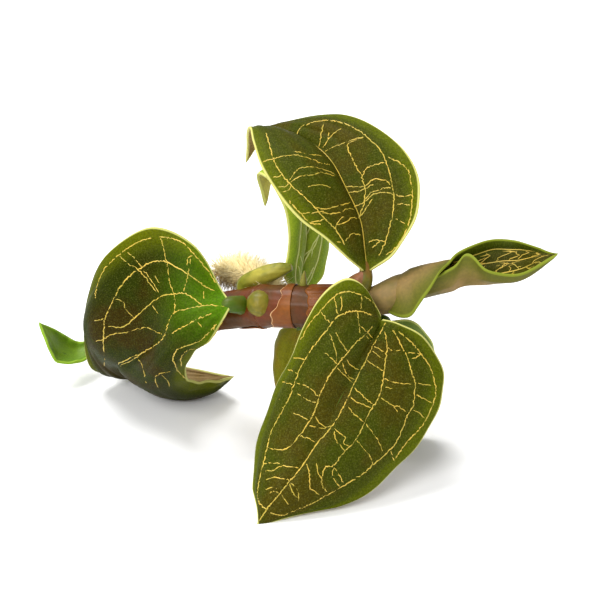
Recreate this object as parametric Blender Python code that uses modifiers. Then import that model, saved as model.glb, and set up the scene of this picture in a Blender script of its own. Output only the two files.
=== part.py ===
# Jewel orchid: a picked cutting lying on a flat surface, built from its separate organs.
# A creeping stem runs along X. The blades are thin shells skinned between three hand-chosen
# lines (midrib, right edge, left edge), each with its stalk. +Z is up, and the viewer of the
# reference photograph looks along +Y from above.

import math

import bmesh
import bpy
import numpy as np
from mathutils import Matrix, Vector

MM = 0.001

# Driving dimensions, in millimetres.
BLADE_THICKNESS = 0.8
CLEARANCE = 0.3
SIDE_CLEARANCE = 1.2 * CLEARANCE
END_CLEARANCE = 1.3 * CLEARANCE
STEM_RADIUS = 5.0
SHEATH_THICKNESS = 0.6
HAIR_LENGTH = 4.5
HAIR_RADIUS = 0.35
PRESS_DEPTH = 0.35
RING_SWELLING = 0.35
RING_WIDTH_SHARE = 0.018
ROUND_END_SHARE = 0.03
END_TIP_SHARE = 0.35
SHEATH_FLARE = 0.25
SHEATH_SLACK = 0.15
HAIR_TIP_RADIUS = 0.12
HAIR_SUNK_DEPTH = 0.4
HAIR_DROOP_LIMIT = -0.3
BUD_TIP_RADIUS = 0.25
SURFACE_SIZE = 300.0
SURFACE_DEPTH = 20.0

# Moves the plant so that the middle of its outline stands over the origin.
PLANT_SHIFT = Vector((4.3, -1.75, -PRESS_DEPTH))

STEM_ROUTE = [(17.5, -6, 42), (10.5, -6, 41.5), (2.5, -5, 41), (-7, -2, 39.5), (-14.5, 4, 35.5),
              (-23.5, 14, 28.5), (-34, 24, 21), (-43.5, 31, 13.5), (-50.5, 34.5, 9)]
STEM_TAPER = [0.88, 1.0, 1.0, 1.0, 0.96, 0.9, 0.8, 0.7, 0.6]
STEM_RINGS = [0.13, 0.40, 0.62, 0.82]

# Each blade: its midrib, the edge on the right and on the left of it when looking to the tip
# with the upper side facing, and how far each half bulges to the upper side at each station.
LEAVES = {
    "leaf_front": {
        "midrib": [(19, -13, 41.5), (17.5, -14.5, 38.5), (15.5, -16, 35.5), (12.5, -19, 31),
                   (9.5, -22, 26), (6, -26, 20.5), (1.5, -30, 14), (-4, -34, 7.5), (-10, -36.5, -0.5)],
        "right": [(19, -13, 42), (15, -13, 50), (10, -13, 52.5), (3.5, -13, 46), (-1, -13, 34.5),
                  (-5.5, -14, 24), (-9.5, -19, 14), (-11, -27, 6.5), (-10, -36.5, -0.5)],
        "left": [(19, -13, 42), (23.5, -14.5, 41.3), (29, -14.5, 37.8), (33.5, -15, 30), (33.5, -18, 24),
                 (30.5, -21, 17), (24, -25, 10), (12.5, -30, 2.5), (-10, -36.5, -0.5)],
        "right_bulge": [0, 1, 2, 3, 4, 4, 3, 1.5, 0],
        "left_bulge": [0, 0.5, 1, 2, 2, 2, 2, 1, 0],
        "stalk": [(13.5, -9, 41), (16.5, -12, 41.5), (18.7, -13.3, 41), (16.5, -15, 37)],
        "stalk_radii": [2.2, 1.9, 1.5, 0.6],
        "cells": (18, 4),
        "colour": (0.035, 0.075, 0.012),
    },
    "leaf_top": {
        "midrib": [(15.5, -6, 50.5), (15, -4, 56.5), (14, 0, 61.5), (11, 4, 67), (7.5, 9, 72),
                   (3.5, 14, 74), (-1, 18, 74), (-6, 22, 73.5), (-11, 26, 72.5), (-13.5, 29, 63)],
        "right": [(16, -6, 50.5), (22, -6, 55.5), (26.5, -4, 62.5), (28, 0, 68), (26.5, 5, 73.5),
                  (20.5, 12, 78), (10.5, 19, 80), (1.5, 25, 76.5), (-6.5, 28, 73), (-13.5, 29, 63)],
        "left": [(15, -7, 51), (10.5, -8, 55.5), (5.5, -8, 60.5), (0, -7, 64.5), (-5, -3, 69),
                 (-9, 3, 73.5), (-11, 9, 77), (-12, 16, 78), (-13, 24, 72.5), (-13.5, 29, 63)],
        "right_bulge": [0, -1, -1, -1, 0, 1, 1, 1, 0, 0],
        "left_bulge": [0, 1, 2, 3, 4, 4, 3, 1, 0, 0],
        "stalk": [(13.5, -6, 44.5), (15.2, -6, 48), (15.5, -6, 50.5), (15.1, -4.6, 55)],
        "stalk_radii": [2.6, 1.8, 1.5, 0.6],
        "cells": (18, 4),
        "colour": (0.04, 0.08, 0.018),
    },
    "leaf_left": {
        "midrib": [(-17, -5, 41.5), (-24, -6, 41.5), (-31, -5, 38), (-36.5, 1, 27), (-42, 7, 19),
                   (-46.5, 14, 13.5), (-42, 26, 4), (-35, 27, 1.2), (-26, 24, 2.6), (-17, 20, 7)],
        "right": [(-16.5, -5, 42), (-19.2, -0.5, 44.3), (-25.5, 5, 52.5), (-36, 9, 55), (-47, 11.5, 46.5),
                  (-53, 15.5, 31), (-54.5, 24, 7.5), (-44, 31.5, 4.5), (-31, 32, 3), (-17, 20, 7)],
        "left": [(-16.5, -6, 41), (-18, -8, 39), (-21, -9, 34.5), (-25, -6, 29.5), (-27.5, -1, 23),
                 (-28, 5, 15.5), (-26, 10, 11.5), (-23, 13, 10), (-20, 16, 8.5), (-17, 20, 7)],
        "right_bulge": [0, 0, 1, 3, 4, 4, 1.5, 1, 1, 0],
        "left_bulge": [0, 0.5, 2.5, 4, 4, 4, 5, 4.8, 3, 0],
        "stalk": [(-13, 0.5, 38), (-14.5, -3.5, 40.5), (-17, -5, 41.5), (-22, -5.8, 41.6)],
        "stalk_radii": [2.6, 2.0, 1.6, 0.6],
        "cells": (20, 5),
        "colour": (0.03, 0.06, 0.01),
    },
    "leaf_right": {
        "midrib": [(18.5, -4, 42.5), (20.5, -1.5, 41.5), (23, 0, 41.5), (27.5, 1, 42), (31.5, 1, 43.5),
                   (36, 0, 45), (40.5, -2, 46.5), (46, -4, 49), (51.5, -6, 51.5), (56, -7, 54.5),
                   (60, -7, 56)],
        "right": [(18.5, -4.5, 42.5), (20.5, -4, 43), (23.5, -6, 46), (27.5, -7, 48), (31.5, -8, 50.5),
                  (35.5, -8, 53), (39, -7, 56), (43, -12, 54.5), (48.5, -13, 53.5), (54.5, -11, 54.5),
                  (60, -7, 56)],
        "left": [(18.5, -6, 43), (21, -10, 41.7), (25, -13, 42.2), (27.5, -13, 45), (30.5, -12, 50),
                 (33.5, -8, 52.5), (37, -2, 53.5), (44, 1, 55.5), (50.5, 0, 56), (56, -4, 56),
                 (60, -7, 56)],
        "right_bulge": [0, -1, -2, -2.5, -3, -3.5, -4, -2.5, -2, -1, 0],
        "left_bulge": [0, -4, -7, -7, -5, -3, -1, -1, -1, -0.5, 0],
        "stalk": [(16.5, -5.5, 42.5), (19, -5, 42.8), (22, -2, 42.2)],
        "stalk_radii": [2.6, 2.3, 1.2],
        "cells": (18, 4),
        "colour": (0.16, 0.12, 0.06),
    },
    "leaf_back": {
        "midrib": [(-0.5, 9, 35), (0.5, 14, 41.5), (1.5, 20, 47.5), (1, 27, 53), (-2, 33, 57),
                   (-7, 37, 56), (-9, 38, 47)],
        "right": [(-0.5, 9, 35), (5.5, 18, 37), (7, 24, 43), (7.5, 31, 50.5), (2.5, 38, 58),
                  (-6.5, 40, 58), (-9, 38, 47)],
        "left": [(-0.5, 9, 35), (-4, 8, 42.5), (-3, 12, 47.5), (-3.5, 18, 54), (-7, 25, 59),
                 (-10.5, 33, 58), (-9, 38, 47)],
        "right_bulge": [0, 0, 1, 1, 1, 0, 0],
        "left_bulge": [0, 1, 1, 2, 2, 1, 0],
        "stalk": [(3.2, -1, 38.5), (1.5, 5, 35.5), (-0.3, 9, 35), (0, 12, 38.5)],
        "stalk_radii": [2.2, 1.6, 1.4, 0.6],
        "cells": (16, 3),
        "colour": (0.035, 0.1, 0.02),
    },
    "leaf_under": {
        "midrib": [(20.5, -5, 37), (21.5, -4, 31), (23, -2, 24.5), (24.5, 0, 16.5), (26.5, 1, 8),
                   (29, 0.5, -1)],
        "right": [(20.5, -5, 37), (15, -4.5, 34), (13.5, -3, 27.5), (16, -2, 17.5), (21, -1, 8.5),
                  (29, 0.5, -1)],
        "left": [(20.5, -5, 37), (27, -3, 36), (32, -1, 29), (33.5, 2, 20), (32.5, 3, 10),
                 (29, 0.5, -1.2)],
        "right_bulge": [0, 1, 2, 2, 1, 0],
        "left_bulge": [0, 1, 2, 2, 1, 0],
        "stalk": [(15.5, -5, 38.5), (18, -5.2, 37.6), (20.3, -5, 37), (21, -4.6, 33)],
        "stalk_radii": [1.8, 1.5, 1.3, 0.6],
        "cells": (16, 3),
        "colour": (0.05, 0.14, 0.02),
    },
    "leaf_hanging": {
        "midrib": [(0, 4, 31), (-1.5, 7, 24.5), (-2.5, 9, 17.5), (-2.5, 10, 10.5), (-1.5, 9, 5.5),
                   (0, 6, 2.5)],
        "right": [(0, 4, 31), (-5, 11.5, 25), (-6, 15, 16), (-5.5, 16, 8), (-3.5, 12, 3.5), (0, 6, 2.5)],
        "left": [(0, 4, 31), (3, 2, 26.5), (4.5, 3, 20), (4.5, 4, 12.5), (3, 5, 6.5), (0, 6, 2.5)],
        "right_bulge": [0, 1, 2, 2, 1, 0],
        "left_bulge": [0, 1, 2, 2, 1, 0],
        "stalk": [(5.5, -4, 36.5), (4.5, 0, 33), (0.5, 4, 31), (-0.8, 5.5, 27.5)],
        "stalk_radii": [2.2, 1.6, 1.4, 0.6],
        "cells": (14, 3),
        "colour": (0.06, 0.1, 0.02),
    },
    "leaf_young": {
        "midrib": [(-53, 35, 6.5), (-56, 33, 7), (-59.5, 31, 7), (-63, 29, 9.5), (-65.5, 29, 14),
                   (-68, 30, 17.5)],
        "right": [(-53.5, 36, 6), (-55.5, 36, 8.5), (-59, 35, 9), (-62, 34, 11.5), (-64.5, 32, 14.5),
                  (-68, 30, 17.5)],
        "left": [(-53, 34, 6.5), (-55.5, 30, 7), (-58.5, 27, 7.5), (-63, 25, 8.5), (-65.5, 26, 13),
                 (-68, 30, 17.5)],
        "right_bulge": [0, -0.5, -1, -1, -0.5, 0],
        "left_bulge": [0, -0.5, -1, -1, -0.5, 0],
        "stalk": [(-50, 34.5, 9), (-53, 34.9, 7), (-57, 32.5, 7)],
        "stalk_radii": [1.9, 1.5, 0.5],
        "cells": (12, 3),
        "colour": (0.1, 0.3, 0.02),
    },
}

# Share of a blade's length where its shell starts and ends, so that its ends keep a width.
BLADE_START = 0.03
BLADE_END = 0.985

SHEATHS = {
    "sheath_joint": {"start": 0.30, "end": 0.342, "from_angle": 0, "to_angle": 360, "slant": 1.6},
    "sheath_tip": {"start": 0.16, "end": 0.235, "from_angle": -50, "to_angle": 120, "slant": 1.0},
    "sheath_lower": {"start": 0.40, "end": 0.50, "from_angle": 215, "to_angle": 325, "slant": 0.0},
}

HAIRY_ROOT = [(-6.5, 2, 39), (-8, 8, 38.5), (-11, 13, 39), (-15.5, 16.5, 39.5), (-20, 18, 38.5)]
HAIRY_ROOT_RADII = [1.6, 1.5, 1.4, 1.3, 0.9]
HAIR_COUNT = 84
HAIR_START = 0.38

GREEN_ROOT = [(-13, 4, 38), (-13.5, 5.5, 41.5), (-9, 5, 44), (-5, 4.5, 45.8), (-2, 4, 46.8)]
GREEN_ROOT_RADII = [1.4, 1.8, 2.2, 1.8, 0.8]

NUB_CENTRE = (-9.4, -5, 40.7)
NUB_RADIUS = 2.7
BUD_FOOT = (0.8, -2.5, 44.5)
BUD_HEIGHT = 4.5
BUD_RADIUS = 0.9


def place(point):
    """Plant coordinates in millimetres to the part's frame in metres."""
    return (Vector(point) + PLANT_SHIFT) * MM


def smooth_line(points, share):
    """Catmull-Rom curve through evenly spaced stations, at shares 0 to 1."""
    knots = np.asarray(points, float)
    if knots.ndim == 1:
        knots = knots[:, None]
    last = len(knots) - 1
    padded = np.vstack([2 * knots[0] - knots[1], knots, 2 * knots[-1] - knots[-2]])
    along = np.clip(share, 0.0, 1.0) * last
    index = min(int(along), last - 1)
    f = along - index
    a, b, c, d = padded[index:index + 4]
    linear = (c - a) * f
    square = (2 * a - 5 * b + 4 * c - d) * f ** 2
    cubic = (3 * b - a - 3 * c + d) * f ** 3
    return 0.5 * (2 * b + linear + square + cubic)


def blade_point(leaf, u, v):
    """Middle surface of a blade: u runs from base to tip, v from the left edge (-1) to the right (1)."""
    middle = smooth_line(leaf["midrib"], u)
    step = 0.001
    after = smooth_line(leaf["midrib"], min(u + step, 1.0))
    ahead = after - smooth_line(leaf["midrib"], max(u - step, 0.0))
    side = "right" if v >= 0 else "left"
    edge = smooth_line(leaf[side], u)
    bulge = smooth_line(leaf[side + "_bulge"], u)[0]
    across = edge - middle
    outward = np.cross(across if v >= 0 else -across, ahead)
    outward /= max(np.linalg.norm(outward), 1e-6)
    share = abs(v)
    return middle + share * across + 4 * bulge * share * (1 - share) * outward


def material(name, colour, roughness):
    mat = bpy.data.materials.new(name)
    mat.use_nodes = True
    shader = mat.node_tree.nodes["Principled BSDF"]
    shader.inputs["Base Color"].default_value = (*colour, 1.0)
    shader.inputs["Roughness"].default_value = roughness
    shader.inputs["Metallic"].default_value = 0.0
    return mat


def add_object(name, mesh, collection, mat=None):
    obj = bpy.data.objects.new(name, mesh)
    collection.objects.link(obj)
    if mat:
        mesh.materials.clear()
        mesh.materials.append(mat)
    return obj


def hide_as_guide(obj):
    obj.hide_render = True
    obj.display_type = "WIRE"
    return obj


def mesh_from_bmesh(name, bm):
    bmesh.ops.recalc_face_normals(bm, faces=bm.faces)
    mesh = bpy.data.meshes.new(name)
    bm.to_mesh(mesh)
    bm.free()
    return mesh


def tube_mesh(name, points, radii, sides, steps):
    """A tapered tube with closed ends along a smooth line through the points."""
    curve = bpy.data.curves.new(name, "CURVE")
    curve.dimensions = "3D"
    curve.bevel_depth = MM
    curve.bevel_resolution = sides // 2 - 2
    curve.use_fill_caps = True
    spline = curve.splines.new("POLY")
    spline.points.add(steps)
    for i, point in enumerate(spline.points):
        share = i / steps
        point.co = (*place(smooth_line(points, share)), 1.0)
        point.radius = max(radius_at(radii, share), 0.05)
    holder = bpy.data.objects.new(name, curve)
    bpy.context.scene.collection.objects.link(holder)
    evaluated = holder.evaluated_get(bpy.context.evaluated_depsgraph_get())
    mesh = bpy.data.meshes.new_from_object(evaluated)
    bpy.data.objects.remove(holder)
    bpy.data.curves.remove(curve)
    bm = bmesh.new()
    bm.from_mesh(mesh)
    bmesh.ops.remove_doubles(bm, verts=bm.verts, dist=1e-6)
    bpy.data.meshes.remove(mesh)
    return mesh_from_bmesh(name, bm)


def radius_at(radii, share):
    return radii(share) if callable(radii) else float(smooth_line(radii, share)[0])


def add_boolean(obj, operation, other, solver="EXACT"):
    modifier = obj.modifiers.new(operation.title() + " " + other.name, "BOOLEAN")
    modifier.operation = operation
    modifier.solver = solver
    modifier.object = other


def stem_radius(share, extra=0.0):
    """Tapered and slightly swollen at each ring, with rounded ends."""
    radius = STEM_RADIUS * float(smooth_line(STEM_TAPER, share)[0])
    for ring in STEM_RINGS:
        radius += RING_SWELLING * math.exp(-((share - ring) / RING_WIDTH_SHARE) ** 2)
    near_end = min(share, 1.0 - share)
    if near_end < ROUND_END_SHARE:
        rounding = 1.0 - (1.0 - near_end / ROUND_END_SHARE) ** 2
        radius *= math.sqrt(max(rounding, END_TIP_SHARE ** 2))
    return radius + extra


def build_stem(parts, guides):
    steps = 48
    mesh = tube_mesh("stem", STEM_ROUTE, stem_radius, 16, steps)
    stem = add_object("stem", mesh, parts, material("stem skin", (0.33, 0.12, 0.045), 0.45))
    first, second, *_, before, last = [Vector(point) for point in STEM_ROUTE]
    start = first + (first - second).normalized() * END_CLEARANCE
    end = last + (last - before).normalized() * END_CLEARANCE
    route = [tuple(start), *STEM_ROUTE[1:-1], tuple(end)]
    wide = tube_mesh("stem clearance", route, lambda share: stem_radius(share, SIDE_CLEARANCE), 16, steps)
    cutter = hide_as_guide(add_object("stem clearance", wide, guides))
    return stem, cutter


def build_leaf(name, leaf, parts, guides, stem_cutter, floor_cutter):
    rows, half_columns = leaf["cells"]
    bm = bmesh.new()
    grid = []
    for i in range(rows + 1):
        u = BLADE_START + (BLADE_END - BLADE_START) * i / rows
        line = [bm.verts.new(place(blade_point(leaf, u, j / half_columns)))
                for j in range(-half_columns, half_columns + 1)]
        grid.append(line)
    for near, far in zip(grid, grid[1:]):
        for j in range(2 * half_columns):
            quad = (near[j], near[j + 1], far[j + 1], far[j])
            if j < half_columns:
                bm.faces.new((quad[0], quad[2], quad[1]))
                bm.faces.new((quad[0], quad[3], quad[2]))
            else:
                bm.faces.new((quad[0], quad[3], quad[1]))
                bm.faces.new((quad[1], quad[3], quad[2]))
    mesh = bpy.data.meshes.new(name)
    bm.to_mesh(mesh)
    bm.free()
    obj = add_object(name, mesh, parts, material(name + " blade", leaf["colour"], 0.6))
    solid = obj.modifiers.new("Blade thickness", "SOLIDIFY")
    solid.thickness = BLADE_THICKNESS * MM
    solid.offset = 0.0
    stalk_mesh = tube_mesh(name + " stalk", leaf["stalk"], leaf["stalk_radii"], 8, 7)
    stalk = hide_as_guide(add_object(name + " stalk", stalk_mesh, guides))
    add_boolean(obj, "UNION", stalk)
    add_boolean(obj, "DIFFERENCE", stem_cutter)
    if name in ("leaf_front", "leaf_left", "leaf_under"):
        add_boolean(obj, "DIFFERENCE", floor_cutter, "MANIFOLD")
    return obj


def stem_frame(share):
    """Point on the stem's axis with its direction and two directions across it."""
    step = 0.004
    centre = Vector(smooth_line(STEM_ROUTE, share))
    after = Vector(smooth_line(STEM_ROUTE, min(share + step, 1.0)))
    before = Vector(smooth_line(STEM_ROUTE, max(share - step, 0.0)))
    ahead = (after - before).normalized()
    front = Vector((0, -1, 0))
    front = (front - ahead * front.dot(ahead)).normalized()
    top = front.cross(ahead).normalized()
    if top.z < 0:
        top = -top
    return centre, ahead, front, top


def build_sheath(name, sheath, parts):
    """A papery sleeve wrapped round the stem: angle 0 points to the viewer, 90 to the top."""
    around = 20 if sheath["to_angle"] - sheath["from_angle"] == 360 else 10
    along = 4
    closed = around == 20
    bm = bmesh.new()
    rows = []
    for i in range(along + 1):
        row = []
        for j in range(around if closed else around + 1):
            turn = (sheath["to_angle"] - sheath["from_angle"]) * j / around
            angle = math.radians(sheath["from_angle"] + turn)
            share = sheath["start"] + (sheath["end"] - sheath["start"]) * i / along
            share += 0.01 * sheath["slant"] * math.sin(angle) * i / along
            centre, _, front, top = stem_frame(share)
            flare = SHEATH_FLARE * (1 - i / along)
            radius = stem_radius(share) + CLEARANCE + SHEATH_SLACK + flare
            point = centre + radius * (math.cos(angle) * front + math.sin(angle) * top)
            row.append(bm.verts.new(place(point)))
        rows.append(row)
    for near, far in zip(rows, rows[1:]):
        for j in range(around):
            k = (j + 1) % len(near)
            bm.faces.new((near[j], near[k], far[k]))
            bm.faces.new((near[j], far[k], far[j]))
    mesh = bpy.data.meshes.new(name)
    bm.to_mesh(mesh)
    bm.free()
    obj = add_object(name, mesh, parts, material(name + " skin", (0.55, 0.3, 0.18), 0.5))
    solid = obj.modifiers.new("Sheath thickness", "SOLIDIFY")
    solid.thickness = SHEATH_THICKNESS * MM
    solid.offset = 1.0
    return obj


def build_hairy_root(parts, guides, stem_cutter):
    """A root core with stiff hairs sunk into it, joined into one solid."""
    core_mesh = tube_mesh("root_hairy", HAIRY_ROOT, HAIRY_ROOT_RADII, 10, 16)
    root = add_object("root_hairy", core_mesh, parts, material("root felt", (0.8, 0.66, 0.36), 0.8))
    hairs = bpy.data.collections.new("root hairs")
    guides.children.link(hairs)
    golden = math.pi * (3 - math.sqrt(5))
    for i in range(HAIR_COUNT):
        share = HAIR_START + (0.97 - HAIR_START) * (i + 0.5) / HAIR_COUNT
        centre = Vector(smooth_line(HAIRY_ROOT, share))
        ahead = Vector(smooth_line(HAIRY_ROOT, share + 0.01)) - centre
        ahead.normalize()
        side = ahead.cross(Vector((0, 0, 1))).normalized()
        up = side.cross(ahead)
        angle = golden * i
        lean = 0.35 * math.sin(2.1 * i)
        out = (math.cos(angle) * side + math.sin(angle) * up + lean * ahead).normalized()
        if out.z < HAIR_DROOP_LIMIT:
            continue
        length = HAIR_LENGTH * (0.8 + 0.2 * math.sin(1.7 * i))
        foot = centre + out * HAIR_SUNK_DEPTH
        turn = out.to_track_quat("Z", "Y").to_matrix().to_4x4()
        middle = place(foot + out * length * 0.5)
        bm = bmesh.new()
        bmesh.ops.create_cone(bm, cap_ends=True, segments=3, radius1=HAIR_RADIUS * MM,
                              radius2=HAIR_TIP_RADIUS * MM, depth=length * MM,
                              matrix=Matrix.Translation(middle) @ turn)
        mesh = mesh_from_bmesh("hair %02d" % i, bm)
        hairs.objects.link(hide_as_guide(bpy.data.objects.new("hair %02d" % i, mesh)))
    union = root.modifiers.new("Join hairs", "BOOLEAN")
    union.operation = "UNION"
    union.solver = "EXACT"
    union.operand_type = "COLLECTION"
    union.collection = hairs
    union.use_self = True
    add_boolean(root, "DIFFERENCE", stem_cutter)
    return root


def build_green_root(parts, stem_cutter):
    mesh = tube_mesh("root_green", GREEN_ROOT, GREEN_ROOT_RADII, 12, 18)
    root = add_object("root_green", mesh, parts, material("root tip", (0.3, 0.36, 0.06), 0.45))
    add_boolean(root, "DIFFERENCE", stem_cutter)
    return root


def build_nub(parts, stem_cutter):
    bm = bmesh.new()
    bmesh.ops.create_uvsphere(bm, u_segments=14, v_segments=9, radius=NUB_RADIUS * MM,
                              matrix=Matrix.Translation(place(NUB_CENTRE)))
    mesh = mesh_from_bmesh("root_nub", bm)
    nub = add_object("root_nub", mesh, parts, material("root nub skin", (0.28, 0.3, 0.06), 0.45))
    add_boolean(nub, "DIFFERENCE", stem_cutter)
    return nub


def build_bud(parts, stem_cutter):
    bm = bmesh.new()
    middle = Vector(BUD_FOOT) + Vector((0, 0, BUD_HEIGHT / 2))
    bmesh.ops.create_cone(bm, cap_ends=True, segments=10, radius1=BUD_RADIUS * MM,
                          radius2=BUD_TIP_RADIUS * MM, depth=BUD_HEIGHT * MM,
                          matrix=Matrix.Translation(place(middle)))
    mesh = mesh_from_bmesh("bud", bm)
    bud = add_object("bud", mesh, parts, material("bud skin", (0.6, 0.55, 0.35), 0.5))
    add_boolean(bud, "DIFFERENCE", stem_cutter)
    return bud


def build_floor_cutter(guides):
    """Trims the three places where blades press on the surface to small flat spots."""
    bm = bmesh.new()
    size = Matrix.Diagonal((SURFACE_SIZE * MM, SURFACE_SIZE * MM, SURFACE_DEPTH * MM, 1.0))
    middle = Matrix.Translation((0, 0, -SURFACE_DEPTH * MM / 2))
    bmesh.ops.create_cube(bm, size=1.0, matrix=middle @ size)
    return hide_as_guide(add_object("surface cutter", mesh_from_bmesh("surface cutter", bm), guides))


def main():
    for obj in list(bpy.data.objects):
        bpy.data.objects.remove(obj)
    parts = bpy.data.collections.new("Jewel orchid")
    guides = bpy.data.collections.new("Cutters")
    bpy.context.scene.collection.children.link(parts)
    bpy.context.scene.collection.children.link(guides)
    stem, stem_cutter = build_stem(parts, guides)
    floor_cutter = build_floor_cutter(guides)
    for name, leaf in LEAVES.items():
        build_leaf(name, leaf, parts, guides, stem_cutter, floor_cutter)
    for name, sheath in SHEATHS.items():
        build_sheath(name, sheath, parts)
    build_hairy_root(parts, guides, stem_cutter)
    build_green_root(parts, stem_cutter)
    build_nub(parts, stem_cutter)
    build_bud(parts, stem_cutter)
    for obj in parts.objects:
        obj.data.shade_smooth()


main()
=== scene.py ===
import math
import bmesh
import bpy
import numpy as np
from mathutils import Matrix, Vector


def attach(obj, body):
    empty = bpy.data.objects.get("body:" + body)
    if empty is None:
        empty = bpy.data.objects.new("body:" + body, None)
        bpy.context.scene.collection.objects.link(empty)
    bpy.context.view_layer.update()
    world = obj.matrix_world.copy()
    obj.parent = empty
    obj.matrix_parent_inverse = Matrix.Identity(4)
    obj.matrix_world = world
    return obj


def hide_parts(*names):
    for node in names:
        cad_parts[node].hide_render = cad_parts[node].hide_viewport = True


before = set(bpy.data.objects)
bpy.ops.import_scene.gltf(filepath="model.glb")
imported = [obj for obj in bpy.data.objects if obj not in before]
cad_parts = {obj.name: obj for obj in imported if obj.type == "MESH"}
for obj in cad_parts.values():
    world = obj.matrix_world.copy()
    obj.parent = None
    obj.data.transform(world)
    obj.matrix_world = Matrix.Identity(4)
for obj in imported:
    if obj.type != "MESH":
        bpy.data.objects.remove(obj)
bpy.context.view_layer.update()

# Jewel orchid cutting on a pale floor. Lengths are in millimetres in the dictionaries and in
# metres in the meshes. The plant's own coordinates are moved by plantShift into the CAD frame.
mm = 0.001
plantShift = np.array((4.3, -1.75, -0.35))
floorGap = 0.03  # lowest that a blade's skin goes, so that it never cuts the floor
weldDistance = 2e-7  # points nearer than this, in metres, become one

photoView = {"target": (4.3, -1.75, 39.65), "distance": 430.0, "elevation": 28.0, "lens": 107.5,
             "sensor": 36.0, "clip": (0.01, 20.0), "pixels": 600}

studio = {
    "sunStrength": 3.5, "sunAngle": 34.0, "sunFrom": (-0.3, 0.25, 1.0),
    "fillPower": 9.0, "fillSize": 0.5, "fillFrom": (-0.45, -0.75, 0.75),
    "skyStrength": 0.66, "skyColour": (1.0, 1.0, 1.0, 1.0),
    "floorSize": 6.0, "floorColour": (0.9, 0.9, 0.9), "floorRoughness": 0.9,
}


def addToScene(name, content):
    made = bpy.data.objects.new(name, content)
    bpy.context.scene.collection.objects.link(made)
    return made


def setUpStudio(look, view):
    tilt = math.radians(view["elevation"])
    back = Vector((0.0, -math.cos(tilt), math.sin(tilt)))
    lens = bpy.data.cameras.new("photoCamera")
    lens.sensor_width = view["sensor"]
    lens.lens = view["lens"]
    lens.clip_start, lens.clip_end = view["clip"]
    camera = addToScene("photoCamera", lens)
    camera.location = (Vector(view["target"]) + back * view["distance"]) * mm
    camera.rotation_mode = "QUATERNION"
    camera.rotation_quaternion = (-back).to_track_quat("-Z", "Y")
    bpy.context.scene.camera = camera
    sun = bpy.data.lights.new("softSun", "SUN")
    sun.energy = look["sunStrength"]
    sun.angle = math.radians(look["sunAngle"])
    fill = bpy.data.lights.new("frontFill", "AREA")
    fill.energy = look["fillPower"]
    fill.size = look["fillSize"]
    for light, place in ((sun, look["sunFrom"]), (fill, look["fillFrom"])):
        lamp = addToScene(light.name, light)
        lamp.location = place
        lamp.rotation_mode = "QUATERNION"
        lamp.rotation_quaternion = (-Vector(place)).to_track_quat("-Z", "Y")
    world = bpy.data.worlds.new("paleRoom")
    world.use_nodes = True
    sky = world.node_tree.nodes["Background"].inputs
    sky["Strength"].default_value = look["skyStrength"]
    sky["Color"].default_value = look["skyColour"]
    bpy.context.scene.world = world
    bpy.context.scene.view_settings.view_transform = "Standard"
    half = look["floorSize"] / 2
    corners = [(-half, -half, 0), (half, -half, 0), (half, half, 0), (-half, half, 0)]
    mesh = bpy.data.meshes.new("paleFloor")
    mesh.from_pydata(corners, [], [(0, 1, 2, 3)])
    mesh.materials.append(newMaterial("palePaper", look["floorColour"], look["floorRoughness"])[0])
    floor = addToScene("paleFloor", mesh)


def newMaterial(name, colour, roughness, **fixed):
    material = bpy.data.materials.new(name)
    material.use_nodes = True
    shader = material.node_tree.nodes["Principled BSDF"]
    shader.inputs["Base Color"].default_value = (*colour, 1.0)
    shader.inputs["Roughness"].default_value = roughness
    for label, value in fixed.items():
        shader.inputs[label.replace("_", " ")].default_value = value
    return material, material.node_tree, shader


def addNode(tree, kind, settings=None, **inputs):
    made = tree.nodes.new(kind)
    for label, value in (settings or {}).items():
        setattr(made, label, value)
    for label, value in inputs.items():
        plug(tree, made.inputs[label.replace("_", " ")], value)
    return made


def plug(tree, socket, value):
    if isinstance(value, bpy.types.NodeSocket):
        tree.links.new(value, socket)
    elif hasattr(value, "__len__") and len(value) == 3 and socket.type == "RGBA":
        socket.default_value = (*value, 1.0)
    else:
        socket.default_value = value


def mixColours(tree, factor, first, second, blend="MIX"):
    made = tree.nodes.new("ShaderNodeMix")
    made.data_type = "RGBA"
    made.blend_type = blend
    plug(tree, made.inputs[0], factor)
    plug(tree, made.inputs[6], first)
    plug(tree, made.inputs[7], second)
    return made.outputs[2]


def mathNode(tree, operation, *values):
    made = tree.nodes.new("ShaderNodeMath")
    made.operation = operation
    for k, value in enumerate(values):
        plug(tree, made.inputs[k], value)
    return made.outputs[0]


# 0 at low and 1 at high, smooth between them; high may be the smaller one.
def fadeBetween(tree, value, low, high):
    made = addNode(tree, "ShaderNodeMapRange", {"interpolation_type": "SMOOTHSTEP"}, Value=value)
    made.inputs["From Min"].default_value = min(low, high)
    made.inputs["From Max"].default_value = max(low, high)
    made.inputs["To Min"].default_value = 0.0 if low < high else 1.0
    made.inputs["To Max"].default_value = 1.0 if low < high else 0.0
    return made.outputs["Result"]


def noiseOn(tree, scale, detail=2.0):
    place = addNode(tree, "ShaderNodeTexCoord").outputs["Object"]
    return addNode(tree, "ShaderNodeTexNoise", Vector=place, Scale=scale, Detail=detail).outputs["Fac"]


def cellsOn(tree, scale):
    place = addNode(tree, "ShaderNodeTexCoord").outputs["Object"]
    return addNode(tree, "ShaderNodeTexVoronoi", Vector=place, Scale=scale).outputs["Distance"]


def readAttribute(tree, name):
    return addNode(tree, "ShaderNodeAttribute", {"attribute_name": name}).outputs["Fac"]


def bumpFrom(tree, shader, height, strength, depth):
    bump = addNode(tree, "ShaderNodeBump", Strength=strength, Distance=depth, Height=height)
    tree.links.new(bump.outputs["Normal"], shader.inputs["Normal"])


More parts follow.
